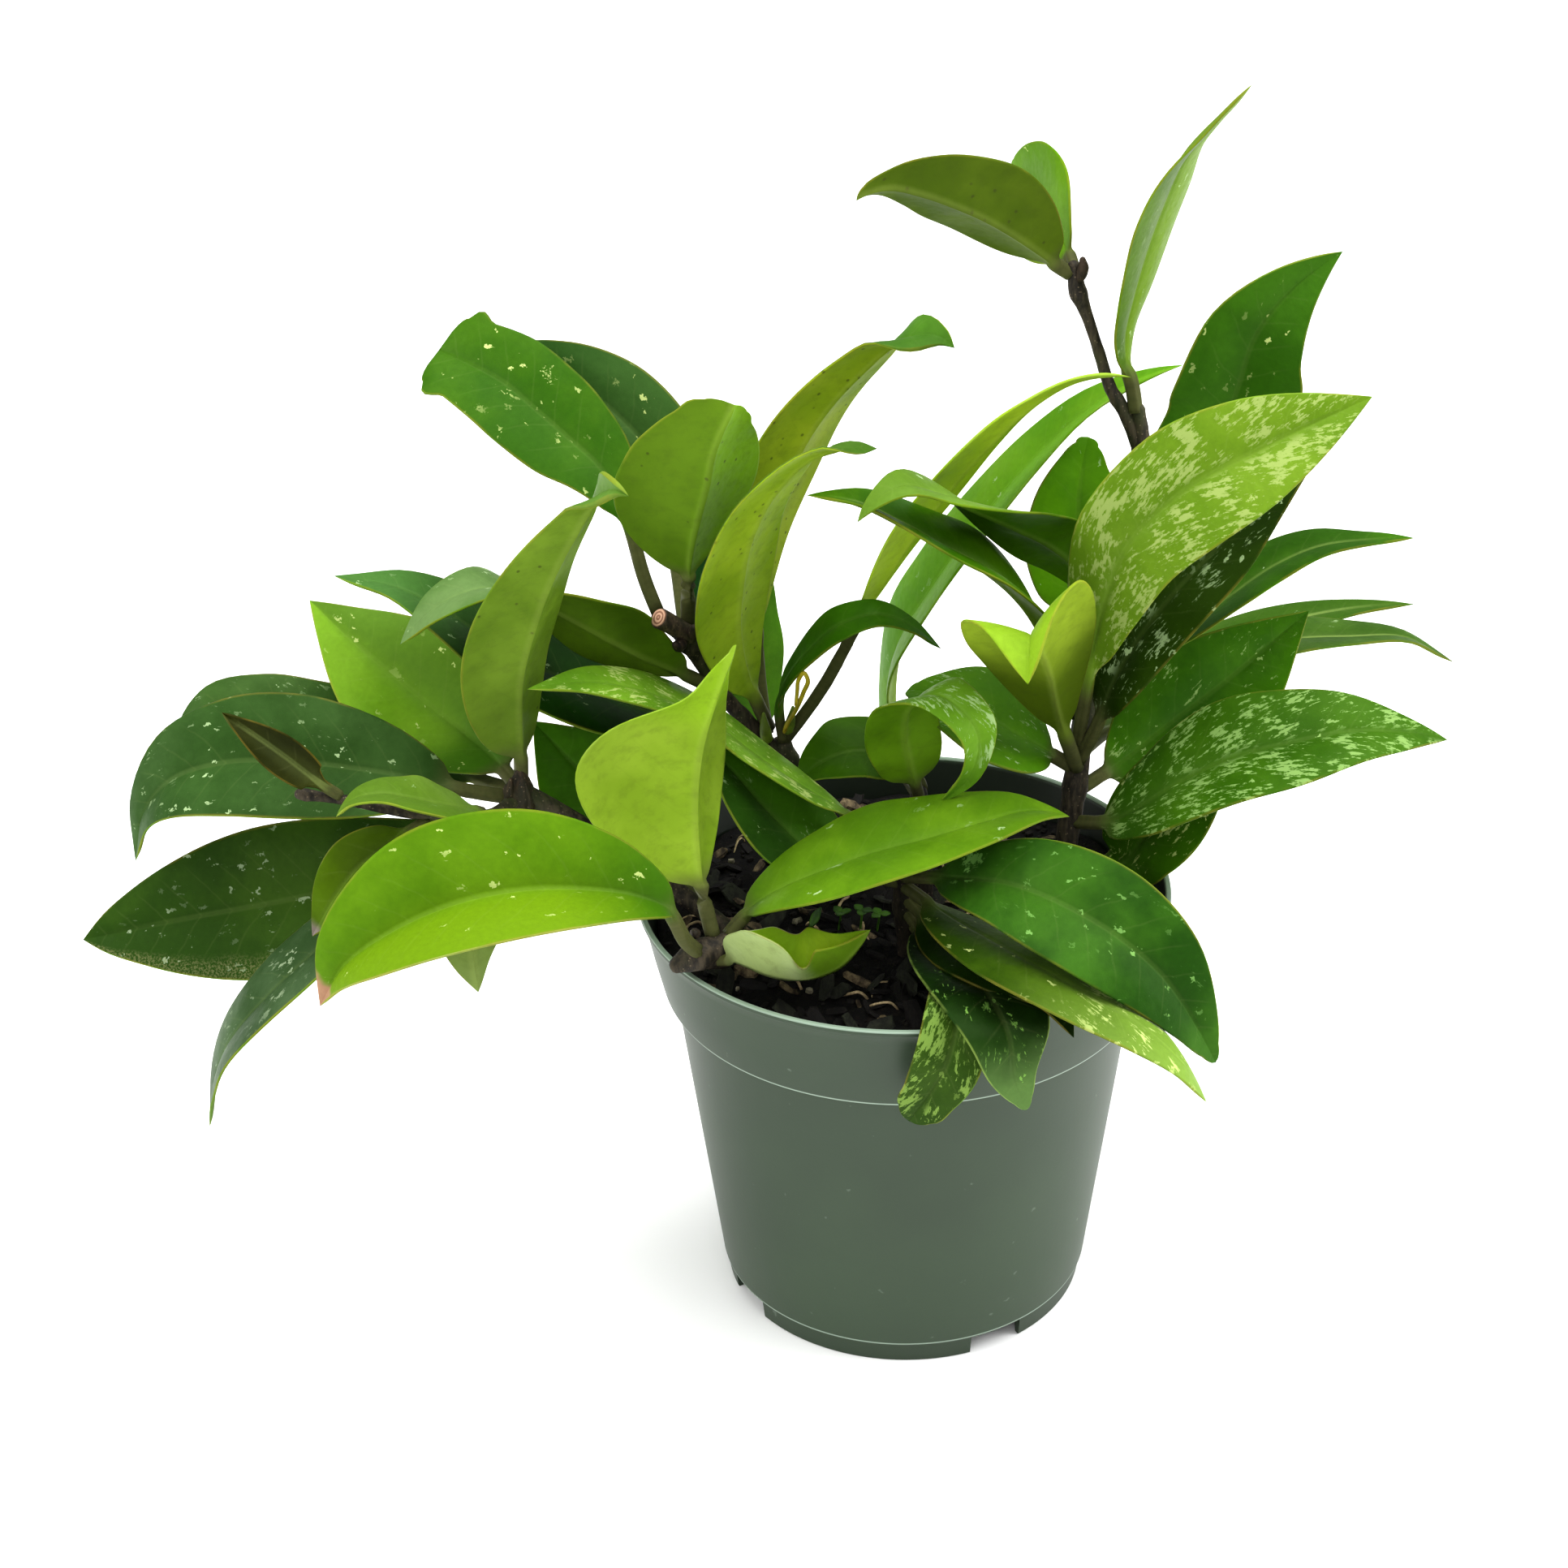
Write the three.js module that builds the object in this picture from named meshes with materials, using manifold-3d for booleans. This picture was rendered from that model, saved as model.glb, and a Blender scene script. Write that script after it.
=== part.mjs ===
// A potted wax plant (hoya): a round nursery pot, its soil, five woody stems and their leaves.
// Millimetres, +Z up, and the plant shows itself towards -Y. Sizes and places are worked out
// from the middle of the pot's underside, and at the end the origin goes to the middle of the
// whole plant's footprint. Each leaf, each stem, the soil and the pot is one closed solid.
import * as THREE from "three";
import { mergeVertices } from "three/addons/utils/BufferGeometryUtils.js";
import Module from "manifold-3d";

const wasm = await Module();
wasm.setup();

// Driving dimensions
const CLEARANCE = 0.3; // left between pieces that touch on the real plant

const POT = {
  height: 130,
  rimRadius: 76,
  skirtHeight: 28, // the stepped-out band below the rim
  skirtRadius: 69.4,
  wallTopRadius: 66.5,
  wallFootRadius: 54.7,
  footRadius: 53.1,
  footHeight: 7,
  wall: 1.5,
  floor: 2,
  sides: 60,
};
const NOTCH = { count: 4, firstDeg: 28, wideDeg: 18, drainFrom: 43, drainWide: 9 };
const SOIL = { level: 119.5, unevenness: 1.6, rings: 8, sides: 40, holeClearance: 0.45 };

const STEM_SIDES = 8;
const PETIOLE = { halfWidth: 1.2, rimUp: 0.8, channelUp: 0.5, shoulderDown: 0.6, keelDown: 1.2 };
const BLADE = { edge: 0.35, ribUp: 0.45, ribDown: 0.85, broadest: 0.45, shoulders: 0.8, taper: 1.05 };
const BLADE_STATIONS = [0, 0.05, 0.14, 0.27, 0.42, 0.57, 0.72, 0.86, 0.96];
const FRONT = new THREE.Vector3(0, -0.87, 0.49).normalize(); // the side the plant is looked at from

// Materials
const material = (color, roughness) =>
  new THREE.MeshStandardMaterial({ color, roughness, metalness: 0 });
const LOOKS = {
  pot: material(0x4d6459, 0.45),
  soil: material(0x1c1714, 0.95),
  bark: material(0x4a3b30, 0.8),
  dark: material(0x245a28, 0.38),
  mid: material(0x3f7d1f, 0.4),
  bright: material(0x6ea523, 0.42),
  pale: material(0x93b03a, 0.45),
  splashed: material(0x5c8f3a, 0.4),
  olive: material(0x6a7a24, 0.5),
};

const plant = new THREE.Group();
plant.name = "potted_hoya";

function add(name, geometry, look) {
  const mesh = new THREE.Mesh(geometry, LOOKS[look]);
  mesh.name = name;
  plant.add(mesh);
  return mesh;
}

// Solids
function geometryOf(points, triangles) {
  const geometry = new THREE.BufferGeometry();
  const numbers = points.flatMap((p) => [p.x, p.y, p.z]);
  geometry.setAttribute("position", new THREE.Float32BufferAttribute(numbers, 3));
  geometry.setIndex(triangles.flat());
  return geometry;
}

function solidOf(geometry) {
  const bare = geometry.clone();
  bare.deleteAttribute("normal");
  bare.deleteAttribute("uv");
  const merged = mergeVertices(bare, 1e-4);
  const kept = [];
  const index = merged.index.array;
  for (let i = 0; i < index.length; i += 3) {
    const [a, b, c] = [index[i], index[i + 1], index[i + 2]];
    if (a !== b && b !== c && a !== c) kept.push(a, b, c);
  }
  const mesh = new wasm.Mesh({
    numProp: 3,
    vertProperties: merged.attributes.position.array,
    triVerts: new Uint32Array(kept),
  });
  return new wasm.Manifold(mesh);
}

function geometryFrom(solid) {
  const mesh = solid.getMesh();
  const geometry = new THREE.BufferGeometry();
  geometry.setAttribute("position", new THREE.BufferAttribute(new Float32Array(mesh.vertProperties), 3));
  geometry.setIndex(new THREE.BufferAttribute(new Uint32Array(mesh.triVerts), 1));
  return geometry;
}

// Joins rings of equal point count into a closed skin, from a start point to an end point.
// splitFirst(i) says whether the quads that follow point i are cut from their first corner.
function skin(rings, start, end, splitFirst = () => true) {
  const count = rings[0].length;
  const points = [start, ...rings.flat(), end];
  const at = (ring, i) => 1 + ring * count + (i % count);
  const last = points.length - 1;
  const triangles = [];
  for (let i = 0; i < count; i++) {
    triangles.push([0, at(0, i + 1), at(0, i)]);
    triangles.push([last, at(rings.length - 1, i), at(rings.length - 1, i + 1)]);
  }
  for (let ring = 0; ring < rings.length - 1; ring++)
    for (let i = 0; i < count; i++) {
      const [a, b, c, d] = [at(ring, i), at(ring, i + 1), at(ring + 1, i + 1), at(ring + 1, i)];
      if (splitFirst(i)) triangles.push([a, b, c], [a, c, d]);
      else triangles.push([a, b, d], [b, c, d]);
    }
  return geometryOf(points, triangles);
}

// Stems: tubes along smooth lines, thicker at their nodes, with a domed end
const bark = []; // points on the stems' middle lines, each with its radius, for leaves to keep clear of

const smoothLine = (points) =>
  new THREE.CatmullRomCurve3(points.map(([x, y, z]) => new THREE.Vector3(x, y, z)), false, "centripetal");

function tube(route) {
  const curve = smoothLine(route);
  const steps = (route.length - 1) * 3;
  const radiusAt = (t) => {
    const place = t * (route.length - 1);
    const i = Math.min(Math.floor(place), route.length - 2);
    return THREE.MathUtils.lerp(route[i][3], route[i + 1][3], place - i);
  };
  const side = new THREE.Vector3(1, 0, 0);
  const rings = [];
  const addRing = (centre, tangent, radius) => {
    side.addScaledVector(tangent, -side.dot(tangent)).normalize();
    const other = new THREE.Vector3().crossVectors(tangent, side);
    const around = (i) => (i / STEM_SIDES) * 2 * Math.PI;
    const rim = (angle) =>
      centre
        .clone()
        .addScaledVector(side, radius * Math.cos(angle))
        .addScaledVector(other, radius * Math.sin(angle));
    rings.push(Array.from({ length: STEM_SIDES }, (_, i) => rim(around(i))));
  };
  for (let step = 0; step <= steps; step++)
    addRing(curve.getPoint(step / steps), curve.getTangent(step / steps), radiusAt(step / steps));
  const heading = curve.getTangent(1);
  const beyond = (share) => curve.getPoint(1).addScaledVector(heading, share * radiusAt(1));
  addRing(beyond(0.65), heading, 0.75 * radiusAt(1));
  for (let t = 0; t <= 1; t += 0.01) bark.push({ at: curve.getPoint(t), radius: radiusAt(t) });
  return solidOf(skin(rings, curve.getPoint(0), beyond(0.95)));
}

// Each stem's branches, as [x, y, z, radius] from the root up.
const STEMS = {
  stem_left: [
    [
      [-43, -20, 106, 2.6], [-45, -20, 121, 2.8], [-57, -14, 131, 2.6], [-77, -9, 145, 2.5],
      [-97, -8, 161, 2.7], [-107, -8, 169, 3.6],
    ],
    [[-45, -20, 121, 2.4], [-48, -32, 129, 2.8], [-53, -41, 134, 3.6], [-58, -46, 137, 3.2]],
    [[-51, -38, 131, 2.8], [-51, -42, 140, 2.6]],
    [
      [-106, -8, 167, 2.6], [-114, -24, 169, 1.7], [-122, -32, 174, 1.6], [-135, -37, 178, 1.5],
      [-149, -39, 183, 1.5], [-163, -40, 186, 1.3],
    ],
  ],
  stem_centre: [
    [[-22, 26, 106, 2.8], [-23, 27, 125, 3], [-30, 28, 148, 3.2], [-34, 28, 162, 3.6]],
    [
      [-31, 28, 152, 3], [-42, 25, 168, 2.3], [-50, 22, 180, 2.2], [-58, 16, 198, 2.4],
      [-62, 13, 206, 2.7], [-68, 11, 211, 2.4],
    ],
  ],
  stem_back: [[[6, 8, 106, 2.6], [6, 8, 126, 2.8], [5, 10, 146, 3], [5, 11, 155, 2.4]]],
  stem_right: [
    [
      [44, 6, 106, 3], [46, 7, 128, 3.2], [49, 9, 155, 3.4], [53, 15, 186, 2.9], [60, 19, 213, 2.4],
      [65, 22, 234, 2.1], [66, 24, 254, 2.2], [62, 24, 263, 2.4],
    ],
    [
      [62, 24, 262, 2.2], [57, 24, 270, 1.7], [54, 24, 279, 1.6], [50, 24, 291, 1.6], [47, 24, 299, 2.3],
      [46, 24, 306, 1.8],
    ],
  ],
  stem_front: [[[0, -20, 106, 2.6], [0, -21, 124, 2.8], [-1, -23, 140, 3], [-1, -24, 150, 2.4]]],
};

const stemSolids = {};
for (const [name, branches] of Object.entries(STEMS)) {
  const solid = branches.map(tube).reduce((whole, branch) => whole.add(branch));
  stemSolids[name] = solid;
  add(name, geometryFrom(solid), "bark");
}

// Leaves

// Whether the foot of a leaf stalk, a disc on its spine, is clear of every stem
function footIsClear(centre, tangent) {
  const side = new THREE.Vector3().crossVectors(tangent, FRONT).normalize();
  const rim = [0, 45, 90, 135, 180, 225, 270, 315].map((degrees) =>
    side
      .clone()
      .applyAxisAngle(tangent, THREE.MathUtils.degToRad(degrees))
      .multiplyScalar(PETIOLE.halfWidth)
      .add(centre),
  );
  const clear = (point) => bark.every(({ at, radius }) => at.distanceTo(point) > radius + CLEARANCE);
  return clear(centre) && rim.every(clear);
}

// A leaf stalk widens into a long oval blade that draws out to a point. The spine runs from
// the stem's middle line to the tip. "turn" is how far the upper face is turned about the
// midrib from the plant's front at the blade's broadest place, "twist" what it turns on from
// there to the tip, and "fold" how far each half rises from flat.
function leafGeometry(spine, shape) {
  const { wide, turn = 0, twist = 0, fold = 12, petiole = 0.12 } = shape;
  const { broadest = BLADE.broadest, taper = BLADE.taper } = shape;
  const curve = smoothLine(spine);
  curve.arcLengthDivisions = 300;
  let begin = 0;
  while (!footIsClear(curve.getPointAt(begin), curve.getTangentAt(begin)) && begin < 0.5) begin += 0.002;
  const bladeFrom = Math.max(petiole, begin + 0.03);
  const places = [begin, (begin + bladeFrom) / 2];
  for (const t of BLADE_STATIONS) places.push(bladeFrom + (1 - bladeFrom) * t);

  // Upper-face directions: set at the broadest place and carried both ways along the spine
  const tangents = places.map((u) => curve.getTangentAt(u));
  const anchor = places.findIndex((u) => u >= bladeFrom + (1 - bladeFrom) * broadest - 0.04);
  const normals = [];
  const front = FRONT.clone().addScaledVector(tangents[anchor], -FRONT.dot(tangents[anchor])).normalize();
  normals[anchor] = front.applyAxisAngle(tangents[anchor], THREE.MathUtils.degToRad(turn));
  const carry = (from, to) => {
    const swing = new THREE.Quaternion().setFromUnitVectors(tangents[from], tangents[to]);
    normals[to] = normals[from].clone().applyQuaternion(swing);
    const on = (places[to] - places[from]) / (1 - places[anchor]);
    if (from >= anchor) normals[to].applyAxisAngle(tangents[to], THREE.MathUtils.degToRad(twist * on));
  };
  for (let i = anchor; i < places.length - 1; i++) carry(i, i + 1);
  for (let i = anchor; i > 0; i--) carry(i, i - 1);

  const [foldLeft, foldRight] = [fold].flat().concat(fold).map(THREE.MathUtils.degToRad);
  const swell = Math.log(0.5) / Math.log(broadest);
  const halfWidthAt = (t) => {
    const drawnOut = t < broadest ? BLADE.shoulders : taper;
    return (wide / 2) * Math.sin(Math.PI * t ** swell) ** drawnOut;
  };
  const rings = places.map((u, i) => {
    const centre = curve.getPointAt(u);
    const up = normals[i];
    const right = new THREE.Vector3().crossVectors(tangents[i], up);
    const put = (across, above) => centre.clone().addScaledVector(right, across).addScaledVector(up, above);
    const t = Math.max(0, (u - bladeFrom) / (1 - bladeFrom));
    const half = halfWidthAt(t);
    if (half < PETIOLE.halfWidth && t < 0.5) {
      const { halfWidth, rimUp, channelUp, shoulderDown, keelDown } = PETIOLE;
      return [
        put(-halfWidth, rimUp),
        put(0, channelUp),
        put(halfWidth, rimUp),
        put(halfWidth * 0.85, -shoulderDown),
        put(0, -keelDown),
        put(-halfWidth * 0.85, -shoulderDown),
      ];
    }
    const edge = (sign, angle, face) =>
      put(
        sign * (half * Math.cos(angle) - face * BLADE.edge * Math.sin(angle)),
        half * Math.sin(angle) + face * BLADE.edge * Math.cos(angle),
      );
    const thinning = 1 - 0.45 * t;
    return [
      edge(-1, foldLeft, 1),
      put(0, BLADE.ribUp * thinning),
      edge(1, foldRight, 1),
      edge(1, foldRight, -1),
      put(0, -BLADE.ribDown * thinning),
      edge(-1, foldLeft, -1),
    ];
  });
  // Strips 0 and 4 are the upper and lower face of one half, 1 and 3 of the other: each pair is
  // cut along the same diagonals, so the thin blade never crosses itself.
  return skin(rings, curve.getPointAt(places[0]), curve.getPointAt(1), (i) => i % 3 === 0);
}

function leaf(name, look, spine, shape) {
  add("leaf_" + name, leafGeometry(spine, shape), look);
}

// Left cluster
leaf("left_upright", "olive",
  [
    [-106, -9, 170], [-105, -14, 183], [-104, -20, 200], [-102, -24, 215], [-98, -28, 228],
    [-90, -33, 249], [-82, -39, 264], [-75, -48, 276], [-70, -56, 277],
  ],
  { wide: 34, turn: -122, fold: 24, petiole: 0.08, broadest: 0.38, taper: 1.4 });
leaf("left_pale", "bright",
  [[-107, -8, 169], [-118, 8, 173], [-133, 20, 180], [-152, 30, 193], [-167, 38, 205]],
  { wide: 43, turn: 20, fold: 10, petiole: 0.08 });
leaf("left_far_dark", "dark",
  [
    [-36, 28, 159], [-55, 23, 168], [-70, 19, 176], [-92, 16, 188], [-113, 13, 202], [-134, 14, 218],
    [-156, 16, 223],
  ],
  { wide: 42, turn: 56, fold: 4, petiole: 0.14 });
leaf("left_arched", "olive",
  [
    [-55, 18, 186], [-59, 15, 190], [-74, 11, 200], [-90, 6, 213], [-102, 1, 223], [-114, -5, 228],
    [-125, -8, 225], [-136, -9, 214],
  ],
  { wide: 34, turn: 112, twist: -60, fold: 8, petiole: 0.06 });
leaf("left_drooping", "dark",
  [
    [-106, -8, 165], [-120, -12, 170], [-141, -16, 178], [-173, -18, 184], [-193, -18, 182],
    [-207, -16, 172], [-214, -14, 151],
  ],
  { wide: 38, turn: 25, fold: 12, petiole: 0.14 });
leaf("left_behind", "dark",
  [
    [-107, -6, 166], [-126, 10, 164], [-148, 18, 168], [-168, 22, 174], [-186, 23, 180],
    [-198, 23, 179], [-206, 22, 171],
  ],
  { wide: 28, turn: 30, fold: 10, petiole: 0.14 });
leaf("left_young", "olive",
  [[-150, -38, 183], [-154, -41, 188], [-166, -43, 201], [-179, -44, 213]],
  { wide: 12, turn: 0, fold: 30, petiole: 0.06 });
leaf("left_small", "bright",
  [
    [-114, -25, 170], [-118, -36, 178], [-124, -44, 184], [-130, -48, 188], [-139, -50, 191],
    [-146, -51, 190], [-151, -51, 185],
  ],
  { wide: 20, turn: 66, fold: 8, petiole: 0.12 });
leaf("left_low_dark", "dark",
  [
    [-107, -8, 163], [-123, -11, 155], [-141, -14, 147], [-160, -17, 142], [-179, -19, 139],
    [-207, -21, 135], [-230, -21, 130],
  ],
  { wide: 43, turn: 8, fold: 8, petiole: 0.1, broadest: 0.5, taper: 0.85 });
leaf("left_hanging", "dark",
  [
    [-115, -22, 168], [-127, -32, 162], [-145, -41, 152], [-167, -47, 135], [-177, -50, 126],
    [-189, -51, 110], [-196, -46, 83],
  ],
  { wide: 30, turn: 60, fold: 5, petiole: 0.1 });
leaf("left_olive", "olive",
  [[-128, -35, 175], [-137, -41, 172], [-147, -46, 167], [-154, -49, 159], [-161, -49, 147]],
  { wide: 17, turn: 20, fold: 15, petiole: 0.12 });
leaf("left_bright", "bright",
  [
    [-56, -44, 135], [-61, -54, 147], [-66, -60, 161], [-84, -66, 170], [-111, -71, 172],
    [-132, -73, 165], [-148, -73, 154], [-157, -71, 139],
  ],
  { wide: 45, turn: 25, fold: 33, petiole: 0.18, broadest: 0.52 });
leaf("left_under", "olive",
  [[-96, -8, 155], [-111, -26, 153], [-117, -40, 149], [-119, -44, 139], [-118, -46, 126]],
  { wide: 26, turn: 160, fold: 15, petiole: 0.15 });
leaf("left_shaded", "mid",
  [[-57, -13, 132], [-61, -2, 133], [-67, 4, 138], [-74, 9, 144], [-88, 19, 154], [-105, 28, 170]],
  { wide: 36, turn: -6, fold: 10, petiole: 0.26 });

// Upper left cluster
leaf("upper_lobed", "mid",
  [
    [-67, 11, 212], [-71, 14, 223], [-73, 17, 231], [-76, 21, 240], [-81, 26, 248], [-96, 36, 259],
    [-109, 46, 267], [-127, 58, 272],
  ],
  { wide: 30, turn: 12, fold: 10, petiole: 0.2, broadest: 0.56, taper: 0.42 });
leaf("upper_behind", "dark",
  [
    [-60, 15, 205], [-62, 28, 217], [-64, 38, 234], [-70, 48, 246], [-81, 56, 255], [-94, 64, 262],
    [-108, 70, 268],
  ],
  { wide: 29, turn: 0, fold: 8, petiole: 0.16, broadest: 0.52, taper: 0.8 });
leaf("upper_cupped", "olive",
  [
    [-59, 14, 206], [-58, 6, 227], [-56, 1, 240], [-52, -3, 256], [-50, -5, 266], [-47, -6, 274],
    [-44, -6, 280],
  ],
  { wide: 48, turn: -147, fold: 32, petiole: 0.25, taper: 0.7 });
leaf("upper_arched", "olive",
  [
    [-37, 28, 165], [-42, 20, 183], [-45, 14, 199], [-45, 9, 214], [-43, 3, 229], [-40, -2, 243],
    [-34, -5, 255], [-27, -8, 264], [-18, -8, 268], [-7, -4, 266],
  ],
  { wide: 36, turn: -115, fold: 5, petiole: 0.1, broadest: 0.52, taper: 0.75 });
leaf("upper_tall", "olive",
  [
    [-38, 28, 164], [-40, 32, 182], [-40, 34, 201], [-38, 36, 218], [-33, 38, 235], [-19, 38, 261],
    [-10, 37, 271], [-2, 35, 278], [7, 32, 285], [15, 28, 281],
  ],
  { wide: 34, turn: -118, fold: 10, petiole: 0.2 });
leaf("upper_teal", "mid",
  [[-50, 24, 180], [-52, 32, 192], [-53, 38, 204], [-51, 44, 217], [-43, 50, 237]],
  { wide: 26, turn: 40, fold: 15, petiole: 0.3 });
leaf("upper_green", "mid",
  [[-36, 28, 152], [-42, 38, 171], [-42, 42, 190], [-37, 48, 212]],
  { wide: 22, turn: 40, fold: 10, petiole: 0.15 });

// Middle
leaf("mid_strap_front", "olive",
  [
    [-34, 28, 161], [-23, 24, 179], [-11, 22, 204], [5, 20, 232], [22, 18, 255], [39, 16, 272],
    [52, 14, 278], [61, 12, 278],
  ],
  { wide: 29, turn: -103, fold: 5, petiole: 0.3 });
leaf("mid_strap_back", "bright",
  [
    [5, 10, 152], [1, 38, 148], [-1, 50, 157], [-1, 53, 171], [5, 50, 189], [30, 44, 231],
    [41, 42, 245], [52, 40, 257], [65, 37, 267], [78, 35, 272],
  ],
  { wide: 30, turn: -67, fold: 12, petiole: 0.1 });
leaf("mid_glossy", "dark",
  [
    [49, 12, 177], [42, 6, 196], [36, 1, 212], [25, -5, 228], [4, -11, 244], [-7, -13, 252],
    [-16, -14, 256], [-26, -15, 258],
  ],
  { wide: 34, turn: 70, fold: 13, petiole: 0.2 });
leaf("mid_arched", "mid",
  [
    [54, 15, 183], [53, 17, 197], [52, 16, 214], [44, 11, 227], [29, 0, 241], [14, -11, 253],
    [0, -19, 262], [-8, -23, 260], [-13, -24, 254],
  ],
  { wide: 27, turn: 107, twist: -60, fold: 8, petiole: 0.2 });
leaf("mid_sickle", "mid",
  [[-33, 28, 157], [-34, 22, 179], [-24, 13, 200], [-11, 9, 211], [0, 9, 209], [11, 11, 199]],
  { wide: 15, turn: -60, fold: 5, petiole: 0.15 });
leaf("mid_oval", "mid",
  [[53, 17, 195], [54, 28, 201], [51, 35, 214], [51, 42, 231], [54, 50, 245]],
  { wide: 32, turn: 10, fold: 8, petiole: 0.1 });

// Centre
leaf("centre_keel", "pale",
  [[50, 9, 160], [42, -8, 188], [38, -20, 207], [32, -36, 226], [30, -50, 231], [29, -59, 224]],
  { wide: 42, turn: 163, fold: 32, petiole: 0.16, broadest: 0.58 });
leaf("centre_ring", "olive",
  [
    [5, 10, 152], [2, -2, 169], [0, -6, 181], [0, -10, 190], [3, -15, 197], [9, -21, 201],
    [14, -26, 199], [18, -29, 195], [19, -30, 188], [15, -29, 179], [9, -27, 172],
  ],
  { wide: 22, turn: -165, twist: 50, fold: 10, petiole: 0.1, broadest: 0.3 });
leaf("centre_round", "splashed",
  [[48, 9, 162], [37, 8, 170], [28, 10, 175], [19, 13, 180], [10, 17, 182], [2, 21, 181]],
  { wide: 42, turn: 50, fold: 5, petiole: 0.12 });
leaf("centre_far", "mid",
  [
    [5, 10, 153], [5, 15, 155], [-1, 20, 158], [-10, 22, 161], [-18, 20, 161], [-25, 18, 158],
    [-29, 16, 154],
  ],
  { wide: 28, turn: 50, fold: 8, petiole: 0.12 });
leaf("centre_bright", "bright",
  [
    [-52, -42, 137], [-43, -38, 146], [-35, -38, 152], [-26, -39, 157], [-6, -41, 166],
    [8, -40, 169], [23, -37, 172], [35, -33, 172], [44, -28, 167],
  ],
  { wide: 38, turn: -58, fold: 8, petiole: 0.08 });
leaf("centre_boat", "pale",
  [
    [-53, -44, 134], [-47, -48, 136], [-41, -52, 135], [-34, -54, 134], [-27, -54, 134],
    [-19, -53, 137], [-11, -50, 146],
  ],
  { wide: 36, turn: -60, fold: 60, petiole: 0.08 });
leaf("centre_pale", "pale",
  [
    [-53, -42, 137], [-56, -41, 153], [-57, -40, 165], [-57, -38, 181], [-55, -37, 196],
    [-51, -37, 210], [-45, -37, 226],
  ],
  { wide: 58, turn: -140, fold: 38, petiole: 0.2, broadest: 0.42, taper: 1.9 });
leaf("centre_splashed", "splashed",
  [
    [-2, -24, 151], [-14, -10, 157], [-35, -5, 170], [-52, 4, 180], [-70, -4, 195], [-86, -16, 205],
    [-101, -27, 209],
  ],
  { wide: 26, turn: 72, fold: 3, petiole: 0.14 });
leaf("centre_dark", "dark",
  [
    [-2, -24, 145], [-15, -20, 147], [-26, -14, 149], [-35, -9, 156], [-42, -6, 163], [-49, -3, 171],
    [-57, -1, 177],
  ],
  { wide: 34, turn: 45, fold: 10, petiole: 0.18 });

// Front
leaf("front_broad", "dark",
  [
    [-2, -24, 147], [13, -41, 156], [26, -51, 160], [39, -60, 159], [52, -67, 154], [65, -71, 143],
    [73, -73, 131], [80, -74, 117],
  ],
  { wide: 33, turn: -14, fold: 12, petiole: 0.1, broadest: 0.5 });
leaf("front_lime", "splashed",
  [
    [-1, -24, 144], [10, -42, 145], [22, -58, 146], [31, -69, 146], [45, -78, 142], [58, -84, 136],
    [68, -87, 127], [76, -88, 114],
  ],
  { wide: 30, turn: -60, fold: [-8, -8], petiole: 0.08 });
leaf("front_olive", "mid",
  [[-1, -23, 140], [9, -37, 136], [20, -52, 138], [31, -65, 139], [37, -77, 139], [41, -83, 132]],
  { wide: 24, turn: -45, fold: 0, petiole: 0.08 });
leaf("front_hanging", "dark",
  [
    [-1, -22, 136], [4, -31, 133], [10, -45, 132], [17, -60, 135], [21, -75, 137], [24, -83, 133],
    [25, -85, 123], [29, -84, 110],
  ],
  { wide: 30, turn: -36, twist: 22, fold: [-8, 14], petiole: 0.08 });
leaf("front_speckled", "splashed",
  [
    [-1, -21, 133], [6, -29, 127], [10, -48, 127], [11, -75, 134], [9, -80, 126], [4, -80, 114],
    [-2, -78, 103],
  ],
  { wide: 18, turn: 0, fold: 10, petiole: 0.12, broadest: 0.64, taper: 0.65 });

// Right
leaf("right_pale", "splashed",
  [
    [49, 9, 167], [50, 3, 183], [51, -1, 198], [53, -5, 214], [55, -8, 226], [59, -10, 239],
    [66, -11, 249], [75, -10, 256], [100, -4, 267], [124, 5, 274],
  ],
  { wide: 34, turn: 0, fold: 12, petiole: 0.14, broadest: 0.58 });
leaf("right_dark_splashed", "dark",
  [
    [48, 9, 159], [54, 3, 178], [59, 0, 195], [66, 1, 208], [75, 4, 219], [86, 9, 229],
    [97, 15, 239], [108, 20, 249], [118, 26, 257],
  ],
  { wide: 30, turn: -36, fold: 12, petiole: 0.17 });
leaf("right_upper", "dark",
  [
    [57, 18, 199], [66, 33, 215], [76, 39, 229], [85, 43, 239], [92, 45, 249], [97, 47, 271],
    [105, 48, 284], [113, 49, 292], [122, 50, 298],
  ],
  { wide: 36, turn: 0, fold: 12, petiole: 0.1, broadest: 0.52 });
leaf("right_narrow", "mid",
  [
    [51, 12, 182], [67, 22, 188], [80, 28, 194], [93, 32, 202], [104, 35, 209], [116, 36, 215],
    [132, 35, 218], [145, 34, 219],
  ],
  { wide: 28, turn: -67, fold: 8, petiole: 0.12 });
leaf("right_long", "dark",
  [
    [48, 9, 164], [60, 28, 163], [71, 38, 165], [84, 45, 171], [96, 50, 175], [109, 53, 177],
    [121, 54, 178], [134, 54, 178], [146, 53, 179], [164, 52, 170],
  ],
  { wide: 34, turn: -69, fold: 6, petiole: 0.14 });
leaf("right_hidden", "dark",
  [
    [50, 11, 171], [63, 51, 156], [77, 65, 156], [93, 72, 164], [110, 76, 170], [127, 77, 174],
    [143, 76, 177], [156, 75, 178],
  ],
  { wide: 24, turn: -60, fold: 6, petiole: 0.2 });
leaf("right_mid", "mid",
  [[49, 8, 154], [64, 18, 159], [77, 24, 167], [91, 27, 177], [104, 29, 188], [116, 30, 199]],
  { wide: 38, turn: 12, fold: 12, petiole: 0.12 });
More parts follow.
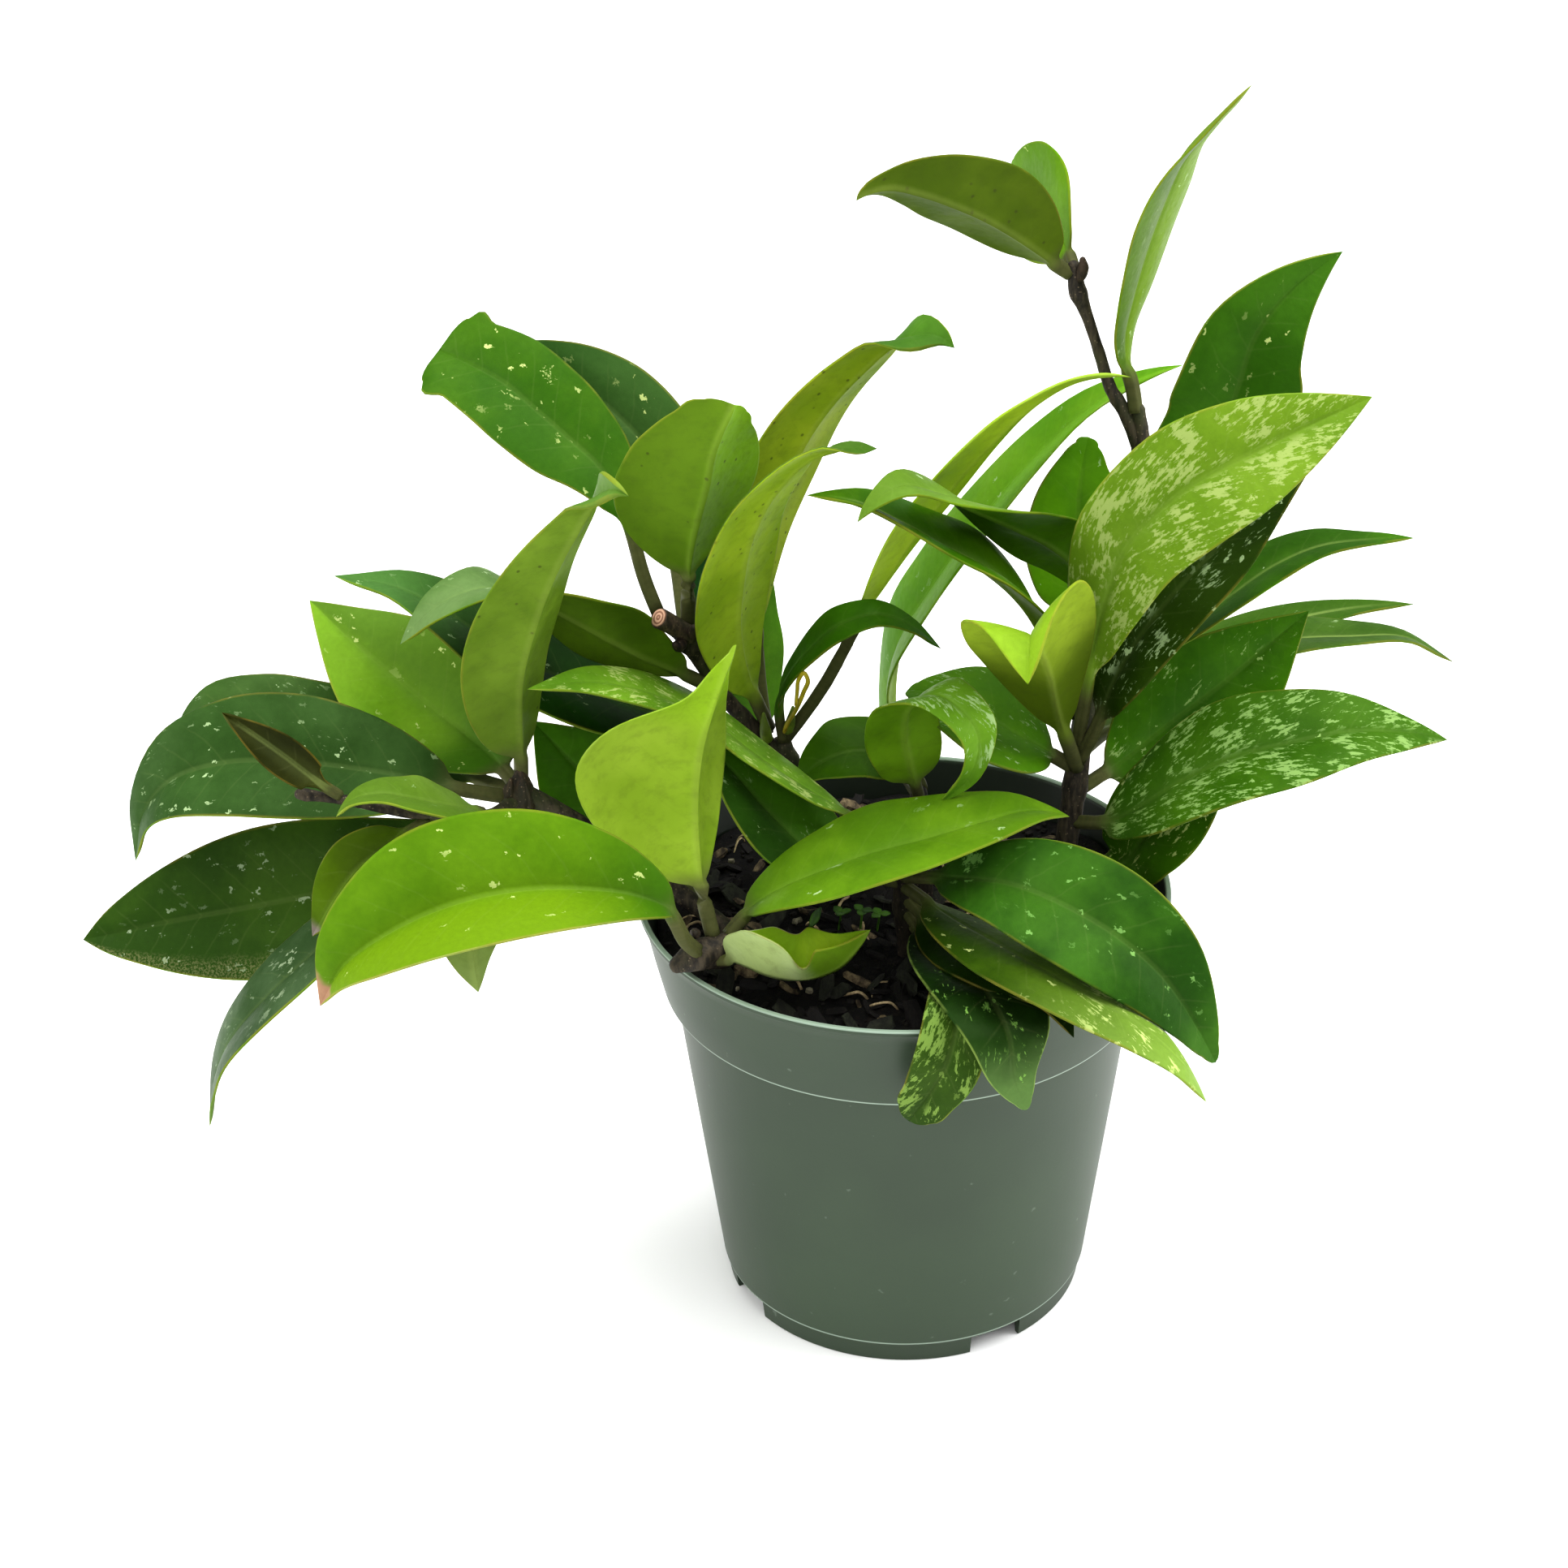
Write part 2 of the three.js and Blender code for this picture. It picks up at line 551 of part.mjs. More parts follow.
leaf("right_splashed", "splashed",
  [
    [49, 7, 145], [59, -3, 151], [70, -8, 161], [82, -11, 171], [95, -12, 177], [108, -12, 180],
    [119, -11, 182], [139, -7, 179], [151, -2, 174],
  ],
  { wide: 36, turn: -40, fold: 10, petiole: 0.08 });
leaf("right_low", "dark",
  [[48, 7, 135], [62, 6, 131], [67, 5, 138], [73, 4, 148], [81, 4, 161], [88, 5, 173], [93, 6, 182]],
  { wide: 29.5, turn: -20, fold: 12, petiole: 0.1 });

// Top shoot
leaf("top_left", "olive",
  [
    [45, 24, 303], [41, 23, 306], [38, 21, 309], [24, 13, 321], [11, 7, 329], [2, 4, 333],
    [-7, 1, 335], [-12, -2, 333],
  ],
  { wide: 32, turn: 123, fold: 24, petiole: 0.06 });
leaf("top_back", "bright",
  [[46, 24, 304], [44, 36, 309], [41, 50, 314], [37, 64, 317], [33, 74, 316]],
  { wide: 30, turn: -55, fold: 15, petiole: 0.08 });
leaf("top_spear", "mid",
  [
    [64, 23, 262], [63, 24, 270], [60, 24, 281], [63, 22, 302], [69, 20, 324], [74, 18, 337],
    [80, 16, 345], [89, 14, 356],
  ],
  { wide: 24, turn: 72, fold: 2, petiole: 0.1 });

// The pot: one lathed wall with a stepped-out rim band, a raised floor and a notched foot ring
const lathe = (profile) =>
  new THREE.LatheGeometry(profile.map(([r, z]) => new THREE.Vector2(r, z)), POT.sides).rotateX(Math.PI / 2);

function potGeometry() {
  const { height, rimRadius, skirtHeight, skirtRadius, wallTopRadius, wallFootRadius } = POT;
  const { footRadius, footHeight, wall, floor } = POT;
  const step = height - skirtHeight;
  const profile = [
    [0, footHeight - 0.5],
    [footRadius - 2.2, footHeight - 0.5],
    [footRadius - 1.8, 0],
    [footRadius, 0],
    [footRadius + 0.7, footHeight - 0.8],
    [wallFootRadius - 0.4, footHeight - 0.3],
    [wallFootRadius, footHeight + 0.7],
    [wallTopRadius, step],
    [skirtRadius, step - 0.2],
    [skirtRadius + 0.3, step + 0.8],
    [rimRadius - 0.9, height - 2.4],
    [rimRadius, height - 1.4],
    [rimRadius, height - 0.4],
    [rimRadius - 0.5, height],
    [rimRadius - wall, height],
    [rimRadius - wall - 0.6, height - 1.6],
    [skirtRadius - wall, step + 1.6],
    [wallTopRadius - wall, step - 0.8],
    [wallFootRadius - wall - 0.6, footHeight + floor + 1.5],
    [wallFootRadius - wall - 3, footHeight + floor],
    [0, footHeight + floor],
  ];
  let solid = solidOf(lathe(profile));
  if (solid.volume() < 0) throw new Error("the pot's profile runs the wrong way round");
  for (let i = 0; i < NOTCH.count; i++) {
    const angle = THREE.MathUtils.degToRad(NOTCH.firstDeg + (i * 360) / NOTCH.count - 90);
    const wide = 2 * footRadius * Math.sin(THREE.MathUtils.degToRad(NOTCH.wideDeg / 2));
    const notch = new THREE.BoxGeometry(20, wide, 2 * (footHeight - 0.9)).translate(footRadius, 0, 0);
    const drainLong = footRadius - 3 - NOTCH.drainFrom;
    const drain = new THREE.BoxGeometry(drainLong, NOTCH.drainWide, 3 * footHeight);
    drain.translate(NOTCH.drainFrom + drainLong / 2, 0, 0);
    for (const cutter of [notch, drain]) solid = solid.subtract(solidOf(cutter.rotateZ(angle)));
  }
  return geometryFrom(solid);
}
add("pot", potGeometry(), "pot");

// The soil: it fills the pot to just under the rim, uneven on top, with a plain hole round each stem
function seeded(seed) {
  let state = seed;
  return () => {
    state = (state * 1664525 + 1013904223) % 4294967296;
    return state / 4294967296;
  };
}

function soilGeometry() {
  const random = seeded(7);
  const { level, unevenness, rings, sides } = SOIL;
  const step = POT.height - POT.skirtHeight;
  const inner = (z) => {
    const wallSlope = (POT.wallTopRadius - POT.wallFootRadius) / (step - POT.footHeight);
    const skirtSlope = (POT.rimRadius - POT.skirtRadius) / POT.skirtHeight;
    if (z < step) return POT.wallFootRadius + (z - POT.footHeight) * wallSlope - POT.wall;
    return POT.skirtRadius + (z - step) * skirtSlope - POT.wall;
  };
  const gap = CLEARANCE + 0.4;
  const low = POT.footHeight + POT.floor + CLEARANCE;
  const outline = [
    [inner(low) - gap - 3.4, low],
    [inner(low + 3) - gap - 0.6, low + 3],
    [inner(step - 3) - gap, step - 3],
    [inner(step - 3) - gap, step + 2.5],
    [inner(step + 5) - gap, step + 5],
  ];
  const ringAt = (radius, z) =>
    Array.from({ length: sides }, (_, i) => {
      const angle = (i / sides) * 2 * Math.PI;
      return new THREE.Vector3(radius * Math.cos(angle), radius * Math.sin(angle), z(angle));
    });
  const loops = outline.map(([radius, z]) => ringAt(radius, () => z));
  const brim = inner(level - 3) - gap;
  for (let ring = 0; ring < rings; ring++) {
    const share = 1 - ring / rings;
    loops.push(
      ringAt(brim * share, (angle) => {
        const mound = 1.5 * (1 - share) + Math.sin(3 * angle + ring) * unevenness * 0.4;
        return level - 2 + mound + (random() - 0.3) * unevenness;
      }),
    );
  }
  let solid = solidOf(skin(loops, new THREE.Vector3(0, 0, low), new THREE.Vector3(0, 0, level)));
  for (const branches of Object.values(STEMS)) {
    const [x, y, z, radius] = branches[0][0];
    const [x2, y2, z2] = branches[0][1];
    const root = new THREE.Vector3(x, y, z);
    const rise = new THREE.Vector3(x2, y2, z2).sub(root);
    const along = rise.clone().normalize();
    const bore = new THREE.CylinderGeometry(radius + 1, radius + 1, 2 * rise.length(), 12);
    bore.applyQuaternion(new THREE.Quaternion().setFromUnitVectors(new THREE.Vector3(0, 1, 0), along));
    bore.translate(...root.addScaledVector(along, rise.length() - SOIL.holeClearance));
    solid = solid.subtract(solidOf(bore));
  }
  return geometryFrom(solid);
}
add("soil", soilGeometry(), "soil");

// The origin: on the table, under the middle of the whole plant
const box = new THREE.Box3().setFromObject(plant);
const middle = box.getCenter(new THREE.Vector3());
for (const mesh of plant.children) mesh.geometry.translate(-middle.x, -middle.y, -box.min.z);

export default plant;
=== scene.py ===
"""A potted wax plant: satin nursery pot, bark soil, five woody stems and fifty-three waxy leaves."""

import math
import random

import bpy
import numpy as np
from mathutils import Matrix, Vector, noise


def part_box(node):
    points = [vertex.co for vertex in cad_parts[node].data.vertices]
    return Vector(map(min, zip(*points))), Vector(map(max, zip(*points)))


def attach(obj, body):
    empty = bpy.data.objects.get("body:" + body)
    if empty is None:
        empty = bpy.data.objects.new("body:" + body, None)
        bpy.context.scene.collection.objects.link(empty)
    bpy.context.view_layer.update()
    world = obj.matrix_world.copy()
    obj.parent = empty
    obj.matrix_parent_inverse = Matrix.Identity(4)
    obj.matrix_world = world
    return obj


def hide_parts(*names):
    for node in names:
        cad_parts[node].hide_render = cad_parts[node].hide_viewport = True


MM = 0.001
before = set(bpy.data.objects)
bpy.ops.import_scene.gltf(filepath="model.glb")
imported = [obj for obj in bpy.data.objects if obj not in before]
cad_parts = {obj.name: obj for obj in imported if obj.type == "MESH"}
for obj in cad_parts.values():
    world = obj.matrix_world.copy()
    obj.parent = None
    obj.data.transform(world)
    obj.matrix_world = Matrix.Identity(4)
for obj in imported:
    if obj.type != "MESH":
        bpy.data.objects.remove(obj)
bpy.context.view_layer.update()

pot_low, pot_high = (Vector(corner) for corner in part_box("pot"))
POT_X = (pot_low.x + pot_high.x) / 2
POT_Y = (pot_low.y + pot_high.y) / 2


def at(x, y, z):
    """A place given in millimetres from the middle of the pot's underside."""
    return Vector((POT_X + x * MM, POT_Y + y * MM, z * MM))


# ---------------------------------------------------------------- colour and shader helpers


def tone(code):
    """A colour written as six hexadecimal digits, in the renderer's linear values."""
    channels = [int(code[i : i + 2], 16) / 255 for i in (1, 3, 5)]
    return tuple(c / 12.92 if c <= 0.04045 else ((c + 0.055) / 1.055) ** 2.4 for c in channels) + (1.0,)


def sap(code):
    """A leaf's tone, with the little blue that living leaves have."""
    red, green, blue, _ = tone(code)
    milky = min(1.0, max(0.0, (blue / green - 0.25) / 0.25))
    return (red * 0.74, green * 0.8, blue * (0.3 + 0.5 * milky), 1.0)


class Shader:
    """One material being wired up: each call adds a node and returns its output."""

    def __init__(self, name):
        self.material = bpy.data.materials.new(name)
        self.material.use_nodes = True
        self.tree = self.material.node_tree
        self.tree.nodes.clear()
        self.surface = self.add("ShaderNodeBsdfPrincipled")
        out = self.add("ShaderNodeOutputMaterial")
        self.tree.links.new(self.surface.outputs["BSDF"], out.inputs["Surface"])

    def add(self, kind, **settings):
        node = self.tree.nodes.new(kind)
        for key, value in settings.items():
            setattr(node, key, value)
        return node

    def feed(self, socket, value):
        if isinstance(value, bpy.types.NodeSocket):
            self.tree.links.new(value, socket)
        elif isinstance(value, (tuple, list)) and len(value) == 3 and len(socket.default_value) == 4:
            socket.default_value = (*value, 1.0)
        else:
            socket.default_value = value

    def math(self, operation, *values, clamp=False):
        return self.fed("ShaderNodeMath", *values, operation=operation, use_clamp=clamp).outputs[0]

    def made(self, kind, inputs, **settings):
        """The outputs of a node whose named inputs take these values."""
        node = self.add(kind, **settings)
        for name, value in inputs.items():
            self.feed(node.inputs[name], value)
        return node.outputs

    def mix(self, share, a, b, blend="MIX"):
        inputs = {"Factor": share, 6: a, 7: b}
        return self.made("ShaderNodeMix", inputs, data_type="RGBA", blend_type=blend)[2]

    def times(self, *values):
        return self.math("MULTIPLY", *values)

    def plus(self, *values):
        return self.math("ADD", *values)

    def minus(self, *values):
        return self.math("SUBTRACT", *values)

    def tint(self, colour, mask, share, other):
        """The colour with this share of another one laid over it where the mask is."""
        return self.mix(self.times(mask, share), colour, other)

    def step(self, value, low, high):
        """0 below low, 1 above high, smooth between (high may be the smaller of the two)."""
        inputs = {"Value": value, "From Min": min(low, high), "From Max": max(low, high)}
        inputs["To Min"], inputs["To Max"] = (0.0, 1.0) if low < high else (1.0, 0.0)
        return self.made("ShaderNodeMapRange", inputs, interpolation_type="SMOOTHSTEP")["Result"]

    def uv(self, name):
        return self.add("ShaderNodeUVMap", uv_map=name).outputs["UV"]

    def object_place(self):
        return self.add("ShaderNodeTexCoord").outputs["Object"]

    def parts(self, vector):
        return self.fed("ShaderNodeSeparateXYZ", vector).outputs

    def fed(self, kind, *values, **settings):
        """A node whose first inputs take these values."""
        node = self.add(kind, **settings)
        for socket, value in zip(node.inputs, values):
            self.feed(socket, value)
        return node

    def moved(self, vector, shift=(0, 0, 0), stretch=(1, 1, 1)):
        inputs = {"Vector": vector, "Location": shift, "Scale": stretch}
        return self.made("ShaderNodeMapping", inputs)["Vector"]

    def cloud(self, vector, scale, detail=3.0, roughness=0.5):
        inputs = {"Vector": vector, "Scale": scale, "Detail": detail, "Roughness": roughness}
        return self.made("ShaderNodeTexNoise", inputs)["Fac"]

    def cells(self, vector, scale):
        outputs = self.made("ShaderNodeTexVoronoi", {"Vector": vector, "Scale": scale})
        return outputs["Distance"], outputs["Color"]

    def bump(self, height, strength, distance, before=None):
        inputs = {"Height": height, "Strength": strength, "Distance": distance}
        if before is not None:
            inputs["Normal"] = before
        return self.made("ShaderNodeBump", inputs)["Normal"]

    def finish(self, colour, roughness, normal=None, **extra):
        self.feed(self.surface.inputs["Base Color"], colour)
        self.feed(self.surface.inputs["Roughness"], roughness)
        if normal is not None:
            self.feed(self.surface.inputs["Normal"], normal)
        for name, value in extra.items():
            self.surface.inputs[name.replace("_", " ")].default_value = value
        return self.material


# ---------------------------------------------------------------- mesh helpers


def mesh_object(name, points, faces, material, smooth=True):
    mesh = bpy.data.meshes.new(name)
    mesh.from_pydata([tuple(p) for p in points], [], faces)
    mesh.polygons.foreach_set("use_smooth", [smooth] * len(mesh.polygons))
    mesh.materials.append(material)
    mesh.update()
    piece = bpy.data.objects.new(name, mesh)
    bpy.context.collection.objects.link(piece)
    return piece


def together(parts):
    """Several (points, faces) shapes as one."""
    points, faces = [], []
    for part_points, part_faces in parts:
        faces += [tuple(i + len(points) for i in face) for face in part_faces]
        points += list(part_points)
    return points, faces


def belongs(piece, *nodes, slot=None):
    """Says what a piece rides on and which solids it stands for; its slot argument is not used."""
    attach(piece, "root")
    if nodes:
        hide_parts(*nodes)
    return piece


def smooth_rows(places, values, wanted):
    """A smooth line through values at uneven places, read at the wanted places."""
    places, values = np.asarray(places, float), np.asarray(values, float)
    gaps = np.diff(places)
    slopes = np.diff(values, axis=0) / gaps[:, None]
    tangents = np.empty_like(values)
    tangents[1:-1] = (slopes[:-1] * gaps[1:, None] + slopes[1:] * gaps[:-1, None]) / (
        gaps[1:, None] + gaps[:-1, None]
    )
    tangents[0] = 1.5 * slopes[0] - 0.5 * tangents[1]
    tangents[-1] = 1.5 * slopes[-1] - 0.5 * tangents[-2]
    span = np.clip(np.searchsorted(places, wanted, side="right") - 1, 0, len(gaps) - 1)
    h = gaps[span][:, None]
    t = ((wanted - places[span]) / gaps[span])[:, None]
    a, b = values[span], values[span + 1]
    ta, tb = tangents[span] * h, tangents[span + 1] * h
    return (
        (2 * t**3 - 3 * t**2 + 1) * a
        + (t**3 - 2 * t**2 + t) * ta
        + (3 * t**2 - 2 * t**3) * b
        + (t**3 - t**2) * tb
    )


def unit(vectors):
    return vectors / np.maximum(np.linalg.norm(vectors, axis=-1, keepdims=True), 1e-9)


def smoothstep(low, high, value):
    t = np.clip((value - low) / (high - low), 0, 1)
    return t * t * (3 - 2 * t)


# ---------------------------------------------------------------- leaves

RINGS = 11  # a leaf's solid is a point, eleven rings of six corners and a point
STEPS = [3, 3, 6, 6, 6, 6, 6, 6, 5, 5, 5]  # finer rows from each ring to the next
MAP_UNIT = 100 * MM
STALK_ROOT = 2.2  # how far a stalk reaches into its stem, in millimetres
ACROSS = np.array([0, 0.06, 0.14, 0.25, 0.38, 0.52, 0.66, 0.79, 0.9, 0.97, 1.0])  # midrib to margin


def rings_of(node):
    """The leaf's solid read as its start, its rings and its end. A ring runs: left margin, midrib and
    right margin on the upper face, then right margin, keel and left margin underneath."""
    mesh = node.data
    corners = np.empty(len(mesh.vertices) * 3)
    mesh.vertices.foreach_get("co", corners)
    corners = corners.reshape(-1, 3)
    _, first, merged = np.unique(
        np.round(corners * 1e5).astype(int), axis=0, return_index=True, return_inverse=True
    )
    merged = merged.reshape(-1)
    points = corners[first]
    beside = [set() for _ in points]
    for polygon in mesh.polygons:
        a, b, c = (int(merged[i]) for i in polygon.vertices)
        beside[a] |= {b, c}
        beside[b] |= {a, c}
        beside[c] |= {a, b}

    def levels_from(pole):
        levels, seen = [[pole]], {pole}
        while True:
            following = sorted(set().union(*(beside[i] for i in levels[-1])) - seen)
            if not following:
                return levels
            seen |= set(following)
            levels.append(following)

    def round_about(first_corner, level):
        members, order = set(level), [first_corner]
        while len(order) < 6:
            following = [i for i in sorted(beside[order[-1]] & members) if i not in order]
            order.append(following[0])
        return order

    def evenness(level):
        order = round_about(level[0], level)
        sides = [np.linalg.norm(points[order[i]] - points[order[i - 1]]) for i in range(6)]
        return max(sides) / min(sides)

    chains = [levels_from(i) for i in range(len(points)) if len(beside[i]) == 6]
    chains = [c for c in chains if [len(level) for level in c] == [1] + [6] * RINGS + [1]]
    levels = min(chains, key=lambda c: evenness(c[1]) + evenness(c[2]))  # the stalk is the rounder end
    rings, rib = [], None
    for number, level in enumerate(levels[1:-1]):
        centre = points[level].mean(axis=0)
        if rib is None:
            rib = min(level, key=lambda i: np.linalg.norm(points[i] - centre))
        else:
            rib = next(iter(beside[rib] & set(level)))
        order = round_about(rib, level)
        before, after = points[levels[number]].mean(axis=0), points[levels[number + 2]].mean(axis=0)
        up = points[order[0]] - points[order[3]]
        right = np.cross(after - before, up)
        if np.dot(points[order[1]] - points[order[0]], right) < 0:
            order = [order[0]] + order[:0:-1]
        rings.append(points[[order[5], order[0], order[1], order[2], order[3], order[4]]])
    return points[levels[0][0]], np.array(rings), points[levels[-1][0]]


WAVE = 0.5 * MM  # how far a margin ripples
# Each side's rib and margin lines, above and below
HALVES = {"left": ((1, 0), (4, 5)), "right": ((1, 2), (4, 3))}


def widen(rows, factor, *sides):
    """Moves the margins of these sides (or both) off their ribs by this factor."""
    for side in sides or HALVES:
        for rib, edge in HALVES[side]:
            rows[..., edge, :] = rows[..., rib, :] + (rows[..., edge, :] - rows[..., rib, :]) * factor


def leaf_mesh(name, node, material, cup=0.05, blunt=0.0, dips=(), turned=(), seed=0):
    """The leaf as it grows: the solid's halves rounded, its stalk round and grown into the stem, its
    margins rolled and wavy. blunt (0 to 1) rounds off the tip. dips are hollows in a margin (bulges if
    negative): side, share of the length, depth, width. turned is where along the leaf its tip starts to
    roll over, through how many degrees, and how much broader that makes it."""
    start, rings, end = rings_of(node)
    grown = unit(rings[1].mean(axis=0) - rings[0].mean(axis=0)) * STALK_ROOT * MM
    start, rings[0] = start - grown, rings[0] - grown
    for ring, share in ((8, 0.08), (9, 0.25), (10, 1.0)):
        widen(rings[ring], 1 + share * blunt)
    lines = np.concatenate([rings, np.repeat(end[None, None, :], 6, axis=1)])  # 12 x 6 x 3
    middle = (lines[:, 1] + lines[:, 4]) / 2
    places = np.concatenate([[0], np.cumsum(np.linalg.norm(np.diff(middle, axis=0), axis=1))])
    wanted = np.concatenate(
        [np.linspace(places[i], places[i + 1], count, endpoint=False) for i, count in enumerate(STEPS)]
    )
    rows = smooth_rows(places, lines.reshape(RINGS + 1, 18), wanted).reshape(-1, 6, 3)
    to_tip = np.clip((wanted - places[-2]) / (places[-1] - places[-2]), 0, 0.95)
    rounder = 1 + blunt * (np.sqrt(1 - to_tip**2) / (1 - to_tip) - 1)
    widen(rows, rounder[:, None])
    along = (wanted - places[2]) / (places[-1] - places[2])
    for side, where, depth, width in dips:
        widen(rows, 1 - depth * np.exp(-(((along - where) / width) ** 2))[:, None], side)
    if turned:
        start_at, degrees, broader = turned
        roll = math.radians(degrees) * smoothstep(start_at, 0.97, along)[:, None, None]
        spine = (rows[:, 1] + rows[:, 4])[:, None] / 2
        ahead = unit(np.gradient(spine[:, 0], axis=0))[:, None]
        off = rows - spine
        off = off * np.cos(roll) + np.cross(ahead, off) * np.sin(roll)
        rows = spine + off * (1 + broader * smoothstep(start_at, 0.93, along))[:, None, None]
    left_top, rib_top, right_top, right_under, rib_under, left_under = (rows[:, i] for i in range(6))
    up = unit(rib_top - rib_under)
    half = (np.linalg.norm(left_top - rib_top, axis=1) + np.linalg.norm(right_top - rib_top, axis=1)) / 2
    broad = smoothstep(1.4 * MM, 8 * MM, half)
    chance = random.Random(seed)
    phases = [chance.uniform(0, 2 * math.pi) for _ in range(4)]
    ripple = {
        side: np.sin(along * 9 + phases[k]) * 0.6 + np.sin(along * 17 + phases[k + 1]) * 0.4
        for side, k in ((-1, 0), (1, 2))
    }

    def face(side, rib, edge, under):
        columns = []
        for t in ACROSS:
            lift = cup * half * math.sin(math.pi * t) * broad
            lift = lift + WAVE * ripple[side] * t * t * broad
            if t == 0:
                lift = lift + (-0.45 if under else -0.25) * MM * broad
            if under and 0 < t < 0.1:
                lift = lift - 0.12 * MM * broad
            columns.append(rib + (edge - rib) * t + up * lift[:, None])
        return columns

    left = face(-1, rib_top, left_top, False)
    right = face(1, rib_top, right_top, False)
    under_right = face(1, rib_under, right_under, True)
    under_left = face(-1, rib_under, left_under, True)

    def rolled(top, under, rib):
        outward = unit((top + under) / 2 - rib)
        return (top + under) / 2 + outward * np.linalg.norm(top - under, axis=1)[:, None] * 0.4

    # The columns run from the left margin to the right one on the upper face and back underneath
    columns = [*left[::-1], *right[1:], rolled(right[-1], under_right[-1], rib_top)]
    columns += [*under_right[::-1], *under_left[1:], rolled(left[-1], under_left[-1], rib_top)]
    sides = [*-ACROSS[::-1], *ACROSS[1:], 1.0, *ACROSS[::-1], *-ACROSS[1:], -1.0]
    beneath = [0] * (2 * len(ACROSS)) + [1] * (2 * len(ACROSS))
    grid = np.stack(columns, axis=1)  # rows x columns x 3

    # The stalk is drawn round, with a shallow channel on its upper side
    centre = rib_top * 0.7 + rib_under * 0.3
    sideways = unit(right_top - left_top)
    stalk = (1 - smoothstep(1.6 * MM, 6 * MM, half)) * (along < 0.2)
    off = grid - centre[:, None]
    x = (off * sideways[:, None]).sum(-1)
    y = (off * up[:, None]).sum(-1)
    angle = np.arctan2(y, x)
    thick = 1.35 + 0.8 * min(1.0, half.max() / (20 * MM))
    reach = thick * (1 - 0.3 * np.exp(-(((angle - math.pi / 2) / 0.55) ** 2))) * MM
    ringed = centre[:, None] + (
        np.cos(angle)[..., None] * sideways[:, None] + np.sin(angle)[..., None] * up[:, None]
    ) * reach[..., None]
    grid = grid + (ringed - grid) * stalk[:, None, None]

    # Faces from pole to pole, with two maps: "blade" in hundreds of millimetres off the midrib and
    # along the leaf, "span" in shares across (2 more underneath) and along
    row_count, column_count = grid.shape[:2]
    points = [start, *grid.reshape(-1, 3), end]
    reaches = [0, *(half / MAP_UNIT), 0]
    lengths = [wanted[0] / MAP_UNIT, *(wanted / MAP_UNIT), places[-1] / MAP_UNIT]
    shares = [along[0], *along, 1.0]
    faces, flat, span = [], [], []

    def corner(row, column, under):
        """Row 0 and the last row are the poles."""
        column %= column_count
        at_pole = row in (0, row_count + 1)
        side = 0.0 if at_pole else sides[column]
        flat.append((side * reaches[row], lengths[row]))
        span.append(((side + 1) / 2 + 2 * under, shares[row]))
        if at_pole:
            return 0 if row == 0 else len(points) - 1
        return 1 + (row - 1) * column_count + column

    for row in range(row_count + 1):
        for column in range(column_count):
            under = max(beneath[column], beneath[(column + 1) % column_count])
            loop = [(row, column), (row, column + 1), (row + 1, column + 1), (row + 1, column)]
            if row == 0:
                loop.pop(1)
            elif row == row_count:
                loop = [loop[3], loop[0], loop[1]]
            faces.append(tuple(corner(*place, under) for place in loop))

    piece = mesh_object(name, points, faces, material)
    for map_name, values in (("blade", flat), ("span", span)):
        layer = piece.data.uv_layers.new(name=map_name)
        layer.data.foreach_set("uv", np.array(values, dtype=np.float32).reshape(-1))
    return piece


SILVER, CREAM, GREY = "#a9c090", "#c6d288", "#8f9f80"
EDGE_BROWN, EDGE_LIGHT = "#8a7a30", "#a8c060"
# Undersides that the usual view doesn't show
GREEN_UNDER, PALE_UNDER = ("#5c7c38", "#6c8c46"), ("#7c9a48", "#8aa656")
FLECK_WARP = (0.035, 0.035, 0.0)  # how far a fleck's outline wanders
# Flecks: cells in a hundred millimetres, the share of cells that hold one, the largest size in cells
FLECK_SIZES = ((13.0, 0.06, 0.3), (26.0, 0.17, 0.4), (58.0, 0.5, 0.44))


def fleck_mask(s, blade, fan, along, off_rib, specks, splash, splash_from):
    """Where a leaf is flecked: small torn flecks that gather in places, and clouded splashes."""
    ragged = s.cloud(blade, 130.0, detail=3, roughness=0.7)
    warp = s.made("ShaderNodeTexNoise", {"Vector": blade, "Scale": 75.0})["Color"]
    torn_fan = s.fed("ShaderNodeVectorMath", warp, FLECK_WARP, fan, operation="MULTIPLY_ADD").outputs[0]
    gather = s.step(s.cloud(blade, 5.5, detail=2), 0.4, 0.62)
    flecks = None
    for scale, share, largest in FLECK_SIZES:
        dist, chance = s.cells(s.moved(torn_fan, shift=(scale, 0.3, 0), stretch=(0.55, 1.0, 1.0)), scale)
        chance = s.parts(chance)
        size = s.times(s.times(chance["Y"], chance["Y"]), largest)
        near = s.minus(size, s.plus(dist, s.times(ragged, 0.6)))
        mask = s.times(s.step(near, -0.27, -0.2), s.math("LESS_THAN", chance["X"], specks * share))
        mask = s.times(mask, s.plus(s.times(gather, 0.8), 0.2))
        flecks = mask if flecks is None else s.math("MAXIMUM", flecks, mask)
    torn = s.cloud(s.moved(fan, stretch=(0.3, 1.0, 1.0)), 80.0, detail=5, roughness=0.7)
    patches = s.cloud(s.moved(blade, shift=(4.1, 2.2, 0)), 9.0, detail=4, roughness=0.65)
    blotch = s.plus(s.times(torn, 0.8), s.times(patches, 0.7))
    blotch = s.step(blotch, 0.92 - 0.18 * splash, 0.97 - 0.18 * splash)
    blotch = s.times(blotch, min(1.0, splash * 3) * 0.62)
    blotch = s.times(blotch, s.step(off_rib, 0.0, 0.03))
    if splash_from:
        blotch = s.times(blotch, s.step(along, splash_from - 0.15, splash_from + 0.15))
    return s.math("MAXIMUM", s.times(flecks, 0.75), blotch, clamp=True)


